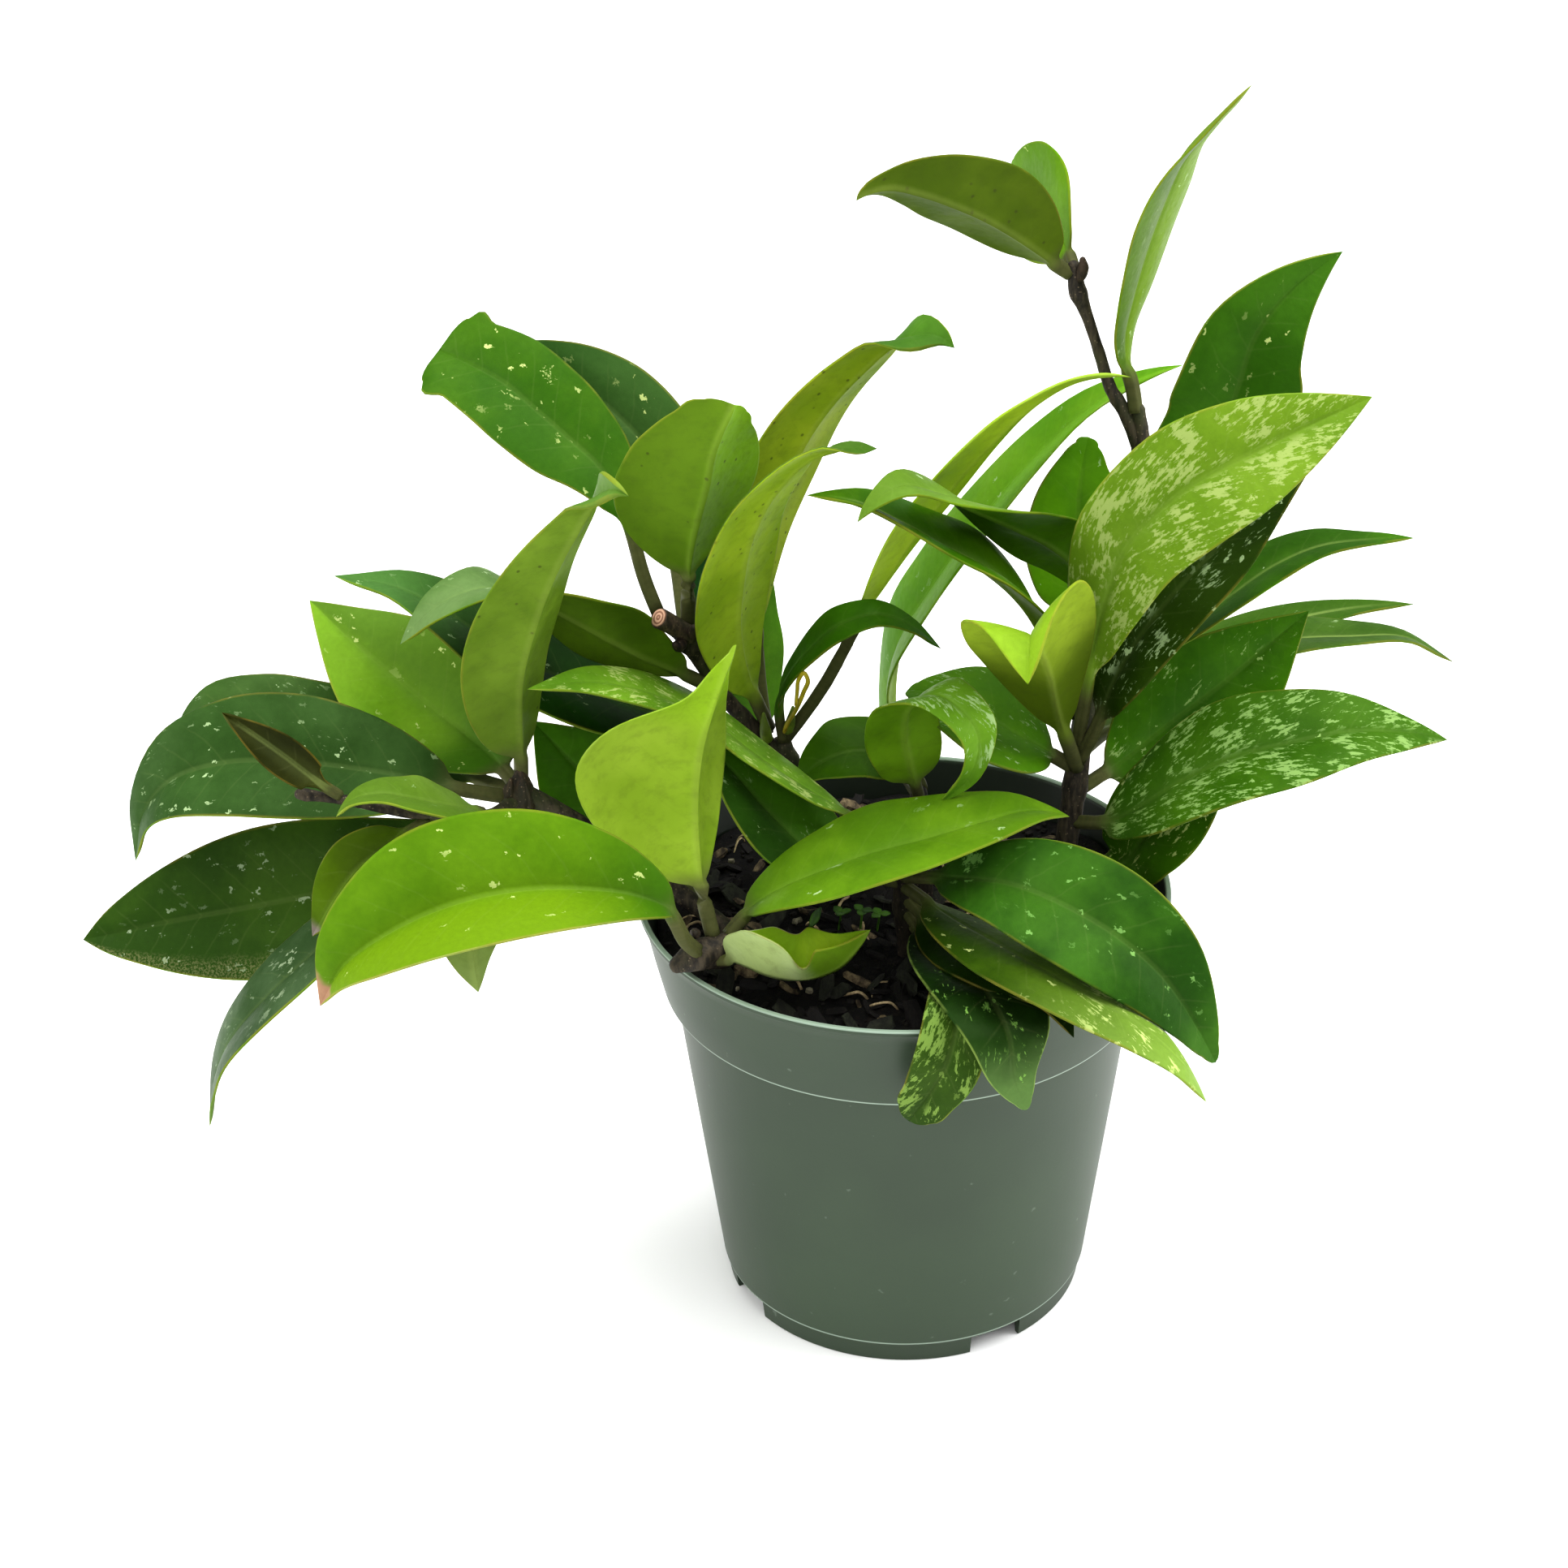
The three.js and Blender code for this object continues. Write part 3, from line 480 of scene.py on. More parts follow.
def leaf_material(name, top, under, specks=0.2, splash=0.0, fleck=SILVER, freckles=0.0, tip=None,
                  painted_light_half=None, painted_light_under_half=None, under_tip=None, base=None, splash_from=None,
                  scuff=None, margin=EDGE_BROWN, rib=0.06, gloss=0.36, seed=0):
    """A waxy leaf. top and under are each a pair of tones that cloud into one another. tip, under_tip
    and base are where along the leaf another tone starts or ends, and that tone. painted_light_half,
    painted_light_under_half and scuff are a side ("left" or "right") and its tone; the two half tones are
    painted light and shade, that half of the upper face or underside made lighter or darker for how light
    falls on it."""
    s = Shader("leaf " + name.replace("_", " "))
    blade = s.moved(s.uv("blade"), shift=(seed * 3.7, seed * 1.3, 0))
    span = s.parts(s.uv("span"))
    raw = s.parts(s.uv("blade"))
    is_under = s.math("GREATER_THAN", span["X"], 1.5)
    side = s.minus(s.minus(span["X"], s.times(is_under, 2.0)), 0.5)
    across = s.times(s.math("ABSOLUTE", side), 2.0)
    off_rib = s.math("ABSOLUTE", raw["X"])

    # Places measured along and across the side veins, which leave the midrib at a low angle
    fan = s.fed(
        "ShaderNodeCombineXYZ",
        s.plus(s.times(off_rib, 0.45), s.times(raw["Y"], 0.9)),
        s.minus(off_rib, s.times(raw["Y"], 0.25)),
        s.times(s.math("SIGN", side), 3.0 + seed),
    ).outputs[0]

    wander = s.cloud(blade, 9.0, detail=3)
    broad = s.cloud(blade, 3.2, detail=4, roughness=0.55)
    fine = s.cloud(blade, 60.0, detail=4, roughness=0.6)

    def on_half(which, blur):
        return s.step(side, -blur, blur) if which == "right" else s.step(side, blur, -blur)

    def length(waver=0.1):
        return s.plus(span["Y"], s.times(wander, waver))

    upper = s.mix(s.step(broad, 0.38, 0.64), sap(top[0]), sap(top[1]))
    lower = s.mix(s.step(broad, 0.35, 0.65), sap(under[0]), sap(under[1]))
    # Painted light and shade: one half of the upper face, or of the underside, is toned lighter or darker for
    # how light falls on that half
    if painted_light_half:
        upper = s.mix(on_half(painted_light_half[0], 0.16), upper, sap(painted_light_half[1]))
    if painted_light_under_half:
        lower = s.mix(on_half(painted_light_under_half[0], 0.06), lower, sap(painted_light_under_half[1]))
    if under_tip:
        lower = s.mix(s.step(length(), under_tip[0], under_tip[0] + 0.16), lower, sap(under_tip[1]))
    if base:
        low = s.step(length(), base[0] + 0.3, base[0])
        upper, lower = s.mix(low, upper, sap(base[1])), s.mix(low, lower, sap(base[1]))
    if tip:
        upper = s.mix(s.step(length(0.12), tip[0], 1.0), upper, tone(tip[1]))
    upper = s.tint(upper, fine, 0.35, s.mix(1.0, upper, tone("#8a8a8a"), "MULTIPLY"))

    # Side veins, barely seen, leave the midrib at a slant
    slant = s.minus(raw["Y"], s.times(off_rib, 0.75))
    slant = s.plus(slant, s.times(wander, 0.035))
    vein = s.times(s.step(s.math("PINGPONG", slant, 0.045), 0.0055, 0.0), s.step(across, 0.96, 0.5))
    upper = s.tint(upper, vein, 0.018, tone(CREAM))
    lower = s.tint(lower, vein, 0.04, tone("#3a4414"))

    flecked = fleck_mask(s, blade, fan, span["Y"], off_rib, specks, splash, splash_from)
    upper = s.mix(flecked, upper, tone(fleck))
    if scuff:
        worn = s.plus(s.times(side, -2.0 if scuff[0] == "left" else 2.0), s.times(wander, 0.3))
        stipple = s.step(s.cloud(blade, 150.0, detail=3, roughness=0.7), 0.45, 0.58)
        upper = s.tint(upper, s.times(s.step(worn, 0.75, 1.0), stipple), 0.45, tone(scuff[1]))

    spots, odds = s.cells(s.moved(blade, shift=(1.0, 5.0, 0)), 45.0)
    dots = s.times(s.step(spots, 0.3, 0.12), s.math("LESS_THAN", s.parts(odds)["Y"], freckles * 0.6))
    lower = s.tint(lower, dots, 0.7, tone("#3a4018"))
    netting = s.cloud(s.moved(fan, stretch=(1.0, 0.6, 1.0)), 30.0, detail=5, roughness=0.7)
    lower = s.mix(s.step(netting, 0.45, 0.7), lower, s.mix(0.2, lower, tone("#3c4818")))

    # The midrib is a thin light line with a soft glow beside it
    line = s.times(s.step(off_rib, 0.011, 0.004), s.step(span["Y"], 0.98, 0.7))
    glow = s.times(s.step(off_rib, 0.045, 0.0), s.step(span["Y"], 1.0, 0.3))
    rib_tone = s.mix(0.55, upper, tone("#b4c878"))
    upper = s.tint(upper, line, rib, rib_tone)
    upper = s.tint(upper, glow, rib * 0.35, rib_tone)
    lower = s.tint(lower, s.step(off_rib, 0.02, 0.006), 0.3, s.mix(0.4, lower, tone("#a3b060")))

    colour = s.mix(is_under, upper, lower)
    rim = s.times(s.step(across, 0.965, 1.0), s.step(wander, 0.35, 0.6))
    colour = s.tint(colour, rim, 0.3, tone(margin))
    foot = s.step(span["Y"], 0.09, -0.01)
    stalk = tone("#3e4326")
    colour = s.mix(foot, colour, s.mix(fine, stalk, s.mix(0.6, stalk, tone("#68673f"))))

    rough = s.plus(gloss, s.times(fine, 0.16))
    rough = s.plus(rough, s.times(is_under, 0.12))
    rough = s.plus(rough, s.times(flecked, 0.12))
    normal = s.bump(s.cloud(blade, 170.0, detail=3, roughness=0.6), 0.12, 0.0003)
    normal = s.bump(s.times(vein, -1.0), 0.035, 0.0003, normal)
    normal = s.bump(s.cloud(blade, 14.0, detail=2), 0.35, 0.0012, normal)
    return s.finish(colour, rough, normal, Specular_IOR_Level=0.09, Specular_Tint=(0.85, 1.0, 0.6, 1.0))


# name: upper tones, underside tones, then what sets the leaf apart
LEAVES = {
    "left_upright": (("#5c8040", "#6c9050"), ("#657f35", "#7d974b"),
                     dict(freckles=0.1, turned=(0.76, 60, 1.25))),
    "left_pale": (("#76a032", "#88b046"), PALE_UNDER,
                  dict(specks=0.5, fleck=CREAM, painted_light_half=("right", "#6c9048"), base=(0.15, "#4c7824"))),
    "left_far_dark": (("#123507", "#1c4a0d"), GREEN_UNDER, dict(specks=0.6, tip=(0.6, "#4a7434"))),
    "left_arched": (("#587848", "#728c5c"), ("#557025", "#68862d"), dict(specks=0.4, gloss=0.45)),
    "left_drooping": (("#31502b", "#43633a"), GREEN_UNDER, dict(specks=1.0, splash=0.12, gloss=0.42)),
    "left_behind": (("#3b5b32", "#506e42"), GREEN_UNDER, dict(specks=1.0, splash=0.25, blunt=0.6)),
    "left_young": (("#242703", "#343608"), ("#1e2103", "#292b06"), dict(specks=0.0, rib=0.3)),
    "left_small": (("#617f3b", "#769150"), PALE_UNDER, dict(specks=0.2)),
    "left_low_dark": (("#2d4a20", "#405d2d"), GREEN_UNDER,
                      dict(specks=1.0, splash=0.12, fleck=GREY, scuff=("left", "#7c7c54"))),
    "left_hanging": (("#3a5334", "#546a49"), GREEN_UNDER, dict(specks=1.0, splash=0.25, fleck=GREY)),
    "left_olive": (("#475d04", "#587307"), ("#546605", "#63770a"),
                   dict(specks=0.05, tip=(0.93, "#7a6f68"))),
    "left_bright": (("#61891a", "#729928"), ("#8e9a55", "#9ca466"),
                    dict(specks=0.35, fleck=CREAM, tip=(0.97, "#a8846a"), gloss=0.42,
                         painted_light_half=("left", "#7a9a24"), base=(0.1, "#467216"))),
    "left_under": (("#6d8240", "#7d9150"), ("#758650", "#859560"), dict(specks=0.05)),
    "left_shaded": (("#3d6812", "#508320"), GREEN_UNDER, dict(specks=0.1)),
    "upper_lobed": (("#39661b", "#4a7424"), GREEN_UNDER, dict(specks=1.0, fleck=CREAM, blunt=0.7)),
    "upper_behind": (("#345930", "#46693d"), GREEN_UNDER, dict(specks=0.7, fleck=CREAM)),
    "upper_cupped": (("#90b250", "#a3c266"), ("#5c7a28", "#6c8a34"),
                     dict(freckles=0.1, painted_light_under_half=("left", "#8cb43c"), blunt=0.5)),
    "upper_arched": (("#4d7238", "#618545"), ("#8da63b", "#a8bd50"),
                     dict(freckles=0.3, turned=(0.88, 60, -0.5))),
    "upper_tall": (("#4c7838", "#5e8c46"), ("#91a43b", "#aeb94d"),
                   dict(freckles=0.35, turned=(0.79, 60, 0.7))),
    "upper_teal": (("#33683c", "#42784a"), GREEN_UNDER, dict(specks=0.3)),
    "upper_green": (("#639740", "#76a94d"), ("#54702c", "#647e38"), dict(specks=0.1)),
    "mid_strap_front": (("#a8ca4b", "#bbd85e"), ("#a3c140", "#bbd355"),
                        dict(specks=0.1, margin=EDGE_LIGHT)),
    "mid_strap_back": (("#69a030", "#7faf40"), PALE_UNDER,
                       dict(specks=0.25, margin=EDGE_LIGHT, painted_light_half=("right", "#7cb03c"))),
    "mid_glossy": (("#40700e", "#5b871a"), ("#556d20", "#68822a"), dict(specks=0.1, rib=0.6, gloss=0.3)),
    "mid_arched": (("#6c8c48", "#7c9c58"), ("#45700e", "#5e8b18"), dict(specks=0.5)),
    "mid_sickle": (("#3c6d16", "#4e8122"), ("#45681b", "#577c27"), dict(specks=0.0)),
    "mid_oval": (("#53880c", "#649a16"), GREEN_UNDER, dict(specks=0.15, blunt=1.0)),
    "centre_keel": (("#94b446", "#a6c658"), ("#8b9e45", "#a1b355"),
                    dict(specks=0.1, fleck=CREAM, gloss=0.45, base=(0.35, "#56681e"))),
    "centre_ring": (("#648e38", "#76a044"), ("#5e8420", "#78a12d"),
                    dict(specks=0.4, splash=0.75, blunt=0.5)),
    "centre_round": (("#568a1b", "#6a9d28"), GREEN_UNDER, dict(specks=0.5, splash=0.4, blunt=0.8)),
    "centre_far": (("#385d10", "#4c7518"), GREEN_UNDER, dict(specks=0.1, blunt=0.5)),
    "centre_bright": (("#5e8425", "#749933"), PALE_UNDER, dict(specks=0.2)),
    "centre_boat": (("#7c9c24", "#98b034"), ("#a8b47c", "#bcc890"),
                    dict(specks=0.05, margin="#7a4c2a", under_tip=(0.48, "#6c8c30"),
                         dips=(("right", 0.5, 0.72, 0.1), ("left", 0.42, 0.35, 0.22),
                         ("right", 0.18, -0.5, 0.16)))),
    "centre_pale": (("#94b445", "#a8c55e"), ("#88a243", "#9cb458"),
                    dict(specks=0.05, margin=EDGE_LIGHT, cup=0.12, blunt=0.9,
                         dips=(("right", 0.76, 0.45, 0.12), ("right", 0.45, -0.1, 0.2)),
                         under_tip=(0.62, "#92b23e"))),
    "centre_splashed": (("#6d983d", "#89b250"), PALE_UNDER, dict(specks=0.8, splash=0.6, fleck=CREAM)),
    "centre_dark": (("#25451a", "#335825"), GREEN_UNDER,
                    dict(specks=0.5, painted_light_half=("right", "#4c7c28"), splash=0.25)),
    "front_broad": (("#285020", "#447132"), GREEN_UNDER,
                    dict(specks=0.8, splash=0.1, fleck="#7ca85c", blunt=0.5)),
    "front_lime": (("#2f4910", "#49631e"), ("#496224", "#556c2d"),
                   dict(specks=0.6, splash=0.6, fleck=CREAM, splash_from=0.6, tip=(0.45, "#7c9c3c"))),
    "front_olive": (("#14280a", "#203a12"), ("#20340e", "#2c4218"), dict(specks=0.1)),
    "front_hanging": (("#10240e", "#203e1b"), GREEN_UNDER,
                      dict(specks=1.0, splash=0.3, tip=(0.75, "#5c7c40"), fleck="#7ca850",
                           margin=EDGE_LIGHT, blunt=0.5)),
    "front_speckled": (("#334e23", "#496532"), GREEN_UNDER,
                       dict(specks=1.0, splash=0.8, fleck="#86a450", blunt=0.5)),
    "right_pale": (("#6e8e34", "#7e9c44"), PALE_UNDER, dict(specks=0.8, splash=0.85, fleck="#9eac6a")),
    "right_dark_splashed": (("#263d0e", "#354f18"), GREEN_UNDER,
                            dict(specks=1.0, splash=0.5, fleck=SILVER)),
    "right_upper": (("#38661a", "#497a28"), GREEN_UNDER, dict(specks=0.7, fleck=CREAM)),
    "right_narrow": (("#34600c", "#4a7c14"), GREEN_UNDER, dict(specks=0.05, rib=0.3, gloss=0.45)),
    "right_long": (("#41632b", "#53753b"), GREEN_UNDER, dict(specks=0.15, rib=0.5)),
    "right_hidden": (("#426726", "#527535"), GREEN_UNDER, dict(specks=0.2, rib=0.5)),
    "right_mid": (("#356508", "#4a7b10"), GREEN_UNDER, dict(specks=0.5, splash=0.35, fleck="#9ab470")),
    "right_splashed": (("#3b6516", "#4b7521"), GREEN_UNDER, dict(specks=0.8, splash=0.8, fleck="#94b46c")),
    "right_low": (("#3b660e", "#4d7e18"), GREEN_UNDER, dict(specks=0.8, splash=0.55, fleck=CREAM)),
    "top_left": (("#3d5d2c", "#4d6d37"), ("#4b5f1a", "#5f7228"), dict(freckles=0.3, blunt=0.4)),
    "top_back": (("#628e0f", "#739f19"), ("#6b8a1c", "#7c9527"), dict(specks=0.4, fleck=CREAM, blunt=0.6)),
    "top_spear": (("#527329", "#628233"), ("#627f2b", "#718c34"),
                  dict(specks=0.5, painted_light_half=("right", "#7c9c34"),
                       dips=(("left", 0.62, -0.9, 0.25), ("right", 0.62, -0.5, 0.25)))),
}
SLOT_OF = {}
for slot_name, names in {
    "leaf_dark": "left_far_dark left_drooping left_behind left_low_dark left_hanging upper_behind "
                 "mid_glossy centre_dark front_broad front_hanging right_dark_splashed right_upper "
                 "right_long right_hidden right_low",
    "leaf_mid": "left_shaded upper_lobed upper_teal upper_green mid_arched mid_sickle mid_oval "
                "centre_far front_olive right_narrow right_mid top_spear",
    "leaf_bright": "left_pale left_small left_bright mid_strap_back centre_bright top_back",
    "leaf_pale": "centre_keel centre_boat centre_pale",
    "leaf_splashed": "centre_round centre_splashed front_lime front_speckled right_pale right_splashed",
    "leaf_olive": "left_upright left_arched left_young left_olive left_under upper_cupped upper_arched "
                  "upper_tall mid_strap_front centre_ring top_left",
}.items():
    for leaf_name in names.split():
        SLOT_OF[leaf_name] = slot_name

for number, (leaf_name, (top, under, rest)) in enumerate(LEAVES.items()):
    node_name = "leaf_" + leaf_name
    shape = {key: rest.pop(key) for key in ("cup", "blunt", "dips", "turned") if key in rest}
    material = leaf_material(leaf_name, top, under, seed=number, **rest)
    leaf = leaf_mesh(leaf_name + "_leaf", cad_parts[node_name], material, seed=number, **shape)
    belongs(leaf, node_name, slot=SLOT_OF[leaf_name])


# ---------------------------------------------------------------- pot

POT = dict(height=130, rim=76, skirt=28, skirt_radius=69.4, wall_top=66.5, wall_foot=54.7, foot=53.1,
           foot_height=7, wall=1.5, floor=2)
NOTCHES = dict(count=4, first_deg=28, wide_deg=18, drain_from=43, drain_wide=9)
# Painted highlights: thin light lines where the skirt's lower edge, the foot groove and the rim's lip catch
# the light
PAINTED_HIGHLIGHT_LINES = ((102.2, 0.45, 0.7), (7.3, 0.4, 0.7), (129.8, 0.4, 0.7))  # height, thickness, strength


def pot_material():
    s = Shader("satin green plastic")
    place = s.object_place()
    z = s.parts(place)["Z"]
    soft = s.cloud(place, 14.0, detail=3)
    grain = s.cloud(place, 900.0, detail=2)
    colour = s.mix(s.step(soft, 0.35, 0.65), tone("#293a25"), tone("#30422b"))
    colour = s.tint(colour, grain, 0.25, tone("#26352a"))
    # The painted highlight lines, each a thin light band at its height
    for height, thickness, share in PAINTED_HIGHLIGHT_LINES:
        off = s.math("ABSOLUTE", s.minus(z, height * MM))
        colour = s.tint(colour, s.step(off, thickness * MM, thickness * 0.3 * MM), share, tone("#a0b3a2"))
    # Painted shade on the wall's inside, above the step: where it is nearer to the axis than the outer skin
    # is, it is darkened for the shade it lies in
    off_axis = s.fed("ShaderNodeVectorMath", s.moved(place, (-POT_X, -POT_Y, 0), stretch=(1, 1, 0)),
                     operation="LENGTH").outputs["Value"]
    slope = (POT["rim"] - POT["skirt_radius"]) / POT["skirt"]
    skin = s.plus(s.times(z, slope), (POT["rim"] - slope * POT["height"]) * MM)
    inside = s.step(s.minus(skin, off_axis), 0.6 * MM, 1.4 * MM)
    inside = s.times(inside, s.step(z, 129.9 * MM, 128.5 * MM))
    inside = s.times(inside, s.step(z, 104.0 * MM, 106.0 * MM))
    # Painted shade: darker towards the foot, below the groove, where the pot meets the floor
    colour = s.tint(colour, s.step(z, 7.5 * MM, 5.0 * MM), 0.3, tone("#1c281a"))
    # Painted shade: the inside of the wall darkened
    colour = s.tint(colour, inside, 0.8, tone("#0c120c"))
    dust = s.step(s.cloud(place, 260.0, detail=2), 0.72, 0.78)
    colour = s.tint(colour, dust, 0.2, tone("#8fa08f"))
    normal = s.bump(grain, 0.06, 0.0002)
    normal = s.bump(s.cloud(place, 22.0, detail=1), 0.2, 0.001, normal)
    return s.finish(colour, s.plus(0.36, s.times(soft, 0.12)), normal, Specular_IOR_Level=0.42)


def pick(piece):
    """Selects one piece, and nothing else."""
    if bpy.context.object and bpy.context.object.mode != "OBJECT":
        bpy.ops.object.mode_set(mode="OBJECT")
    bpy.ops.object.select_all(action="DESELECT")
    bpy.context.view_layer.objects.active = piece
    piece.select_set(True)


def open_up(piece):
    """Picks a piece and selects its whole mesh for editing."""
    pick(piece)
    bpy.ops.object.mode_set(mode="EDIT")
    bpy.ops.mesh.select_all(action="SELECT")


def spun(name, profile, material, steps=180):
    """A profile (radius, height in millimetres) turned round the pot's axis."""
    mesh = bpy.data.meshes.new(name)
    points = [at(radius, 0, height) for radius, height in profile]
    mesh.from_pydata(points, [(i, i + 1) for i in range(len(points) - 1)], [])
    piece = bpy.data.objects.new(name, mesh)
    bpy.context.collection.objects.link(piece)
    open_up(piece)
    bpy.ops.mesh.spin(steps=steps, angle=2 * math.pi, center=at(0, 0, 0), axis=(0, 0, 1))
    bpy.ops.mesh.select_all(action="SELECT")
    bpy.ops.mesh.remove_doubles(threshold=0.00002)
    bpy.ops.mesh.select_all(action="SELECT")
    bpy.ops.mesh.normals_make_consistent(inside=False)
    bpy.ops.object.mode_set(mode="OBJECT")
    mesh.materials.append(material)
    return piece


def cutter_block(angle, reach, wide, low, high):
    """A block that points outwards at this angle, from one radius to another."""
    points = []
    for z in (low, high):
        for radius, side in ((reach[0], -1), (reach[1], -1), (reach[1], 1), (reach[0], 1)):
            x = radius * math.cos(angle) - side * wide / 2 * math.sin(angle)
            y = radius * math.sin(angle) + side * wide / 2 * math.cos(angle)
            points.append(at(x, y, z))
    faces = [(3, 2, 1, 0), (4, 5, 6, 7), (0, 1, 5, 4), (1, 2, 6, 5), (2, 3, 7, 6), (3, 0, 4, 7)]
    return points, faces


def cut_out(piece, blocks):
    cutter = mesh_object("cutter", *together(blocks), piece.data.materials[0], smooth=False)
    modifier = piece.modifiers.new("notches", "BOOLEAN")
    modifier.operation = "DIFFERENCE"
    modifier.solver = "EXACT"
    modifier.use_self = True
    modifier.object = cutter
    pick(piece)
    bpy.ops.object.modifier_apply(modifier=modifier.name)
    bpy.data.objects.remove(cutter)


def build_pot():
    height, rim, skirt, wall_top = (POT[key] for key in ("height", "rim", "skirt_radius", "wall_top"))
    foot, foot_height, wall, wall_foot = (POT[key] for key in ("foot", "foot_height", "wall", "wall_foot"))
    step, floor = height - POT["skirt"], foot_height + POT["floor"]
    profile = [
        (0, foot_height - 0.5), (20, foot_height - 0.5), (foot - 2.2, foot_height - 0.5),
        (foot - 1.8, 0.3), (foot - 1.5, 0), (foot - 0.3, 0), (foot, 0.3),
        (foot + 0.6, foot_height - 1.2), (foot + 0.7, foot_height - 0.7), (foot + 0.9, foot_height - 0.4),
        (wall_foot - 0.4, foot_height - 0.3), (wall_foot - 0.15, foot_height),
        (wall_foot, foot_height + 0.6), (wall_foot + 2.5, foot_height + 21),
        (wall_foot + 5.4, foot_height + 44), (wall_foot + 8.4, foot_height + 68),
        (wall_top - 0.3, step - 2), (wall_top, step - 0.4), (wall_top + 0.4, step),
        (skirt - 0.5, step - 0.3), (skirt - 0.1, step - 0.1), (skirt + 0.2, step + 0.5),
        (skirt + 0.4, step + 1.2), (skirt + 2.6, step + 11), (rim - 1.6, height - 5),
        (rim - 0.9, height - 2.6), (rim - 0.25, height - 1.7), (rim, height - 1.3), (rim, height - 0.5),
        (rim - 0.15, height - 0.15), (rim - 0.5, height), (rim - wall + 0.15, height),
        (rim - wall - 0.1, height - 0.25), (rim - wall - 0.6, height - 1.6),
        (skirt - wall + 2.4, step + 12), (skirt - wall, step + 1.6), (wall_top - wall, step - 0.8),
        (wall_foot - wall + 6, foot_height + 50), (wall_foot - wall - 0.6, floor + 1.5),
        (wall_foot - wall - 3, floor), (20, floor), (0, floor),
    ]
    pot = spun("nursery_pot", profile, pot_material())
    blocks = []
    for i in range(NOTCHES["count"]):
        angle = math.radians(NOTCHES["first_deg"] + i * 360 / NOTCHES["count"] - 90)
        wide = 2 * foot * math.sin(math.radians(NOTCHES["wide_deg"] / 2))
        blocks.append(cutter_block(angle, (foot - 10, foot + 10), wide, -1, foot_height - 0.9))
        drain = (NOTCHES["drain_from"], foot - 3)
        blocks.append(cutter_block(angle, drain, NOTCHES["drain_wide"], -2, 3 * foot_height / 2))
    cut_out(pot, blocks)
    pick(pot)
    bpy.ops.object.shade_smooth_by_angle(angle=math.radians(32))
    return belongs(pot, "pot", slot="pot")


build_pot()


# ---------------------------------------------------------------- soil

SOIL_LEVEL = 119.0
SOIL_BRIM = 70.3
# How many of each are strewn, and how far from the pot's axis they start
CHIPS, CRUMBS, FLAKES, GRAINS, ROOTS = (330, 68.5), (420, 69.0), (46, 62.0), (34, 67.0), (64, 64.0)
CHIPS_WITHIN, ROOTS_WITHIN = 69.0, 68.0  # what would reach further is left out


def soil_height(x, y):
    """Height of the soil's top in millimetres, at a place in millimetres from the pot's axis."""
    lumps = noise.noise(Vector((x * 0.09, y * 0.09, 3.0))) * 1.5
    crumbs = noise.noise(Vector((x * 0.35, y * 0.35, 8.0))) * 0.9
    return SOIL_LEVEL + 0.8 + lumps + crumbs - 0.0002 * (x * x + y * y)


def soil_material():
    s = Shader("bark soil")
    place = s.object_place()
    lumps = s.cloud(place, 130.0, detail=6, roughness=0.7)
    colour = s.mix(s.step(lumps, 0.4, 0.7), tone("#030302"), tone("#0f0c0a"))
    dist, _ = s.cells(place, 420.0)
    colour = s.tint(colour, s.step(dist, 0.5, 0.1), 0.3, tone("#2a221a"))
    rough = s.plus(0.72, s.times(lumps, 0.25))
    return s.finish(colour, rough, s.bump(lumps, 0.8, 0.002), Specular_IOR_Level=0.2)


def build_soil():
    rings, sides = 46, 110
    # Down the inside of the pot's wall: radius and height, from the floor to just under the surface
    outline = [(48.5, 9.6), (52.6, 12.4), (62.0, 98.5), (65.4, 104.5), (67.3, 110.5), (69.3, 116.0)]
    points, faces = [at(0, 0, 9.6)], []

    def ring(radius, height):
        base = len(points)
        for i in range(sides):
            a = 2 * math.pi * i / sides
            x, y = radius * math.cos(a), radius * math.sin(a)
            points.append(at(x, y, height(x, y) if callable(height) else height))
        return base

    bases = [ring(radius, height) for radius, height in outline]
    for k in range(rings):
        bases.append(ring(SOIL_BRIM * (1 - k / rings), soil_height))
    points.append(at(0, 0, soil_height(0, 0)))
    last = len(points) - 1
    for i in range(sides):
        j = (i + 1) % sides
        faces.append((0, bases[0] + j, bases[0] + i))
        faces.append((last, bases[-1] + i, bases[-1] + j))
        for a, b in zip(bases, bases[1:]):
            faces.append((a + i, a + j, b + j, b + i))
    return belongs(mesh_object("bark_soil", points, faces, soil_material()), "soil", slot="soil")


build_soil()


def chip_material(name, dark, light):
    s = Shader(name)
    place = s.object_place()
    streak = s.cloud(s.moved(place, stretch=(1, 0.35, 1)), 420.0, detail=4, roughness=0.65)
    broad = s.cloud(place, 70.0, detail=2)
    colour = s.mix(s.step(streak, 0.35, 0.68), tone(dark), tone(light))
    colour = s.tint(colour, broad, 0.5, tone("#15100c"))
    rough = s.plus(0.6, s.times(streak, 0.3))
    return s.finish(colour, rough, s.bump(streak, 0.6, 0.0008), Specular_IOR_Level=0.25)


def chip_shape():
    """One chip of bark: a small rounded block of 24 faces, its corners pulled askew. Made once and copied."""
    bpy.ops.mesh.primitive_cube_add(size=1.0, location=(0, 0, 0))
    chip = bpy.context.object
    open_up(chip)
    bpy.ops.mesh.subdivide(number_cuts=1, smoothness=0.35)
    bpy.ops.mesh.select_all(action="SELECT")
    bpy.ops.transform.vertex_random(offset=0.09, uniform=1.0, seed=7)
    bpy.ops.object.mode_set(mode="OBJECT")
    points = [v.co[:] for v in chip.data.vertices]
    faces = [tuple(p.vertices) for p in chip.data.polygons]
    bpy.data.objects.remove(chip)
    return points, faces


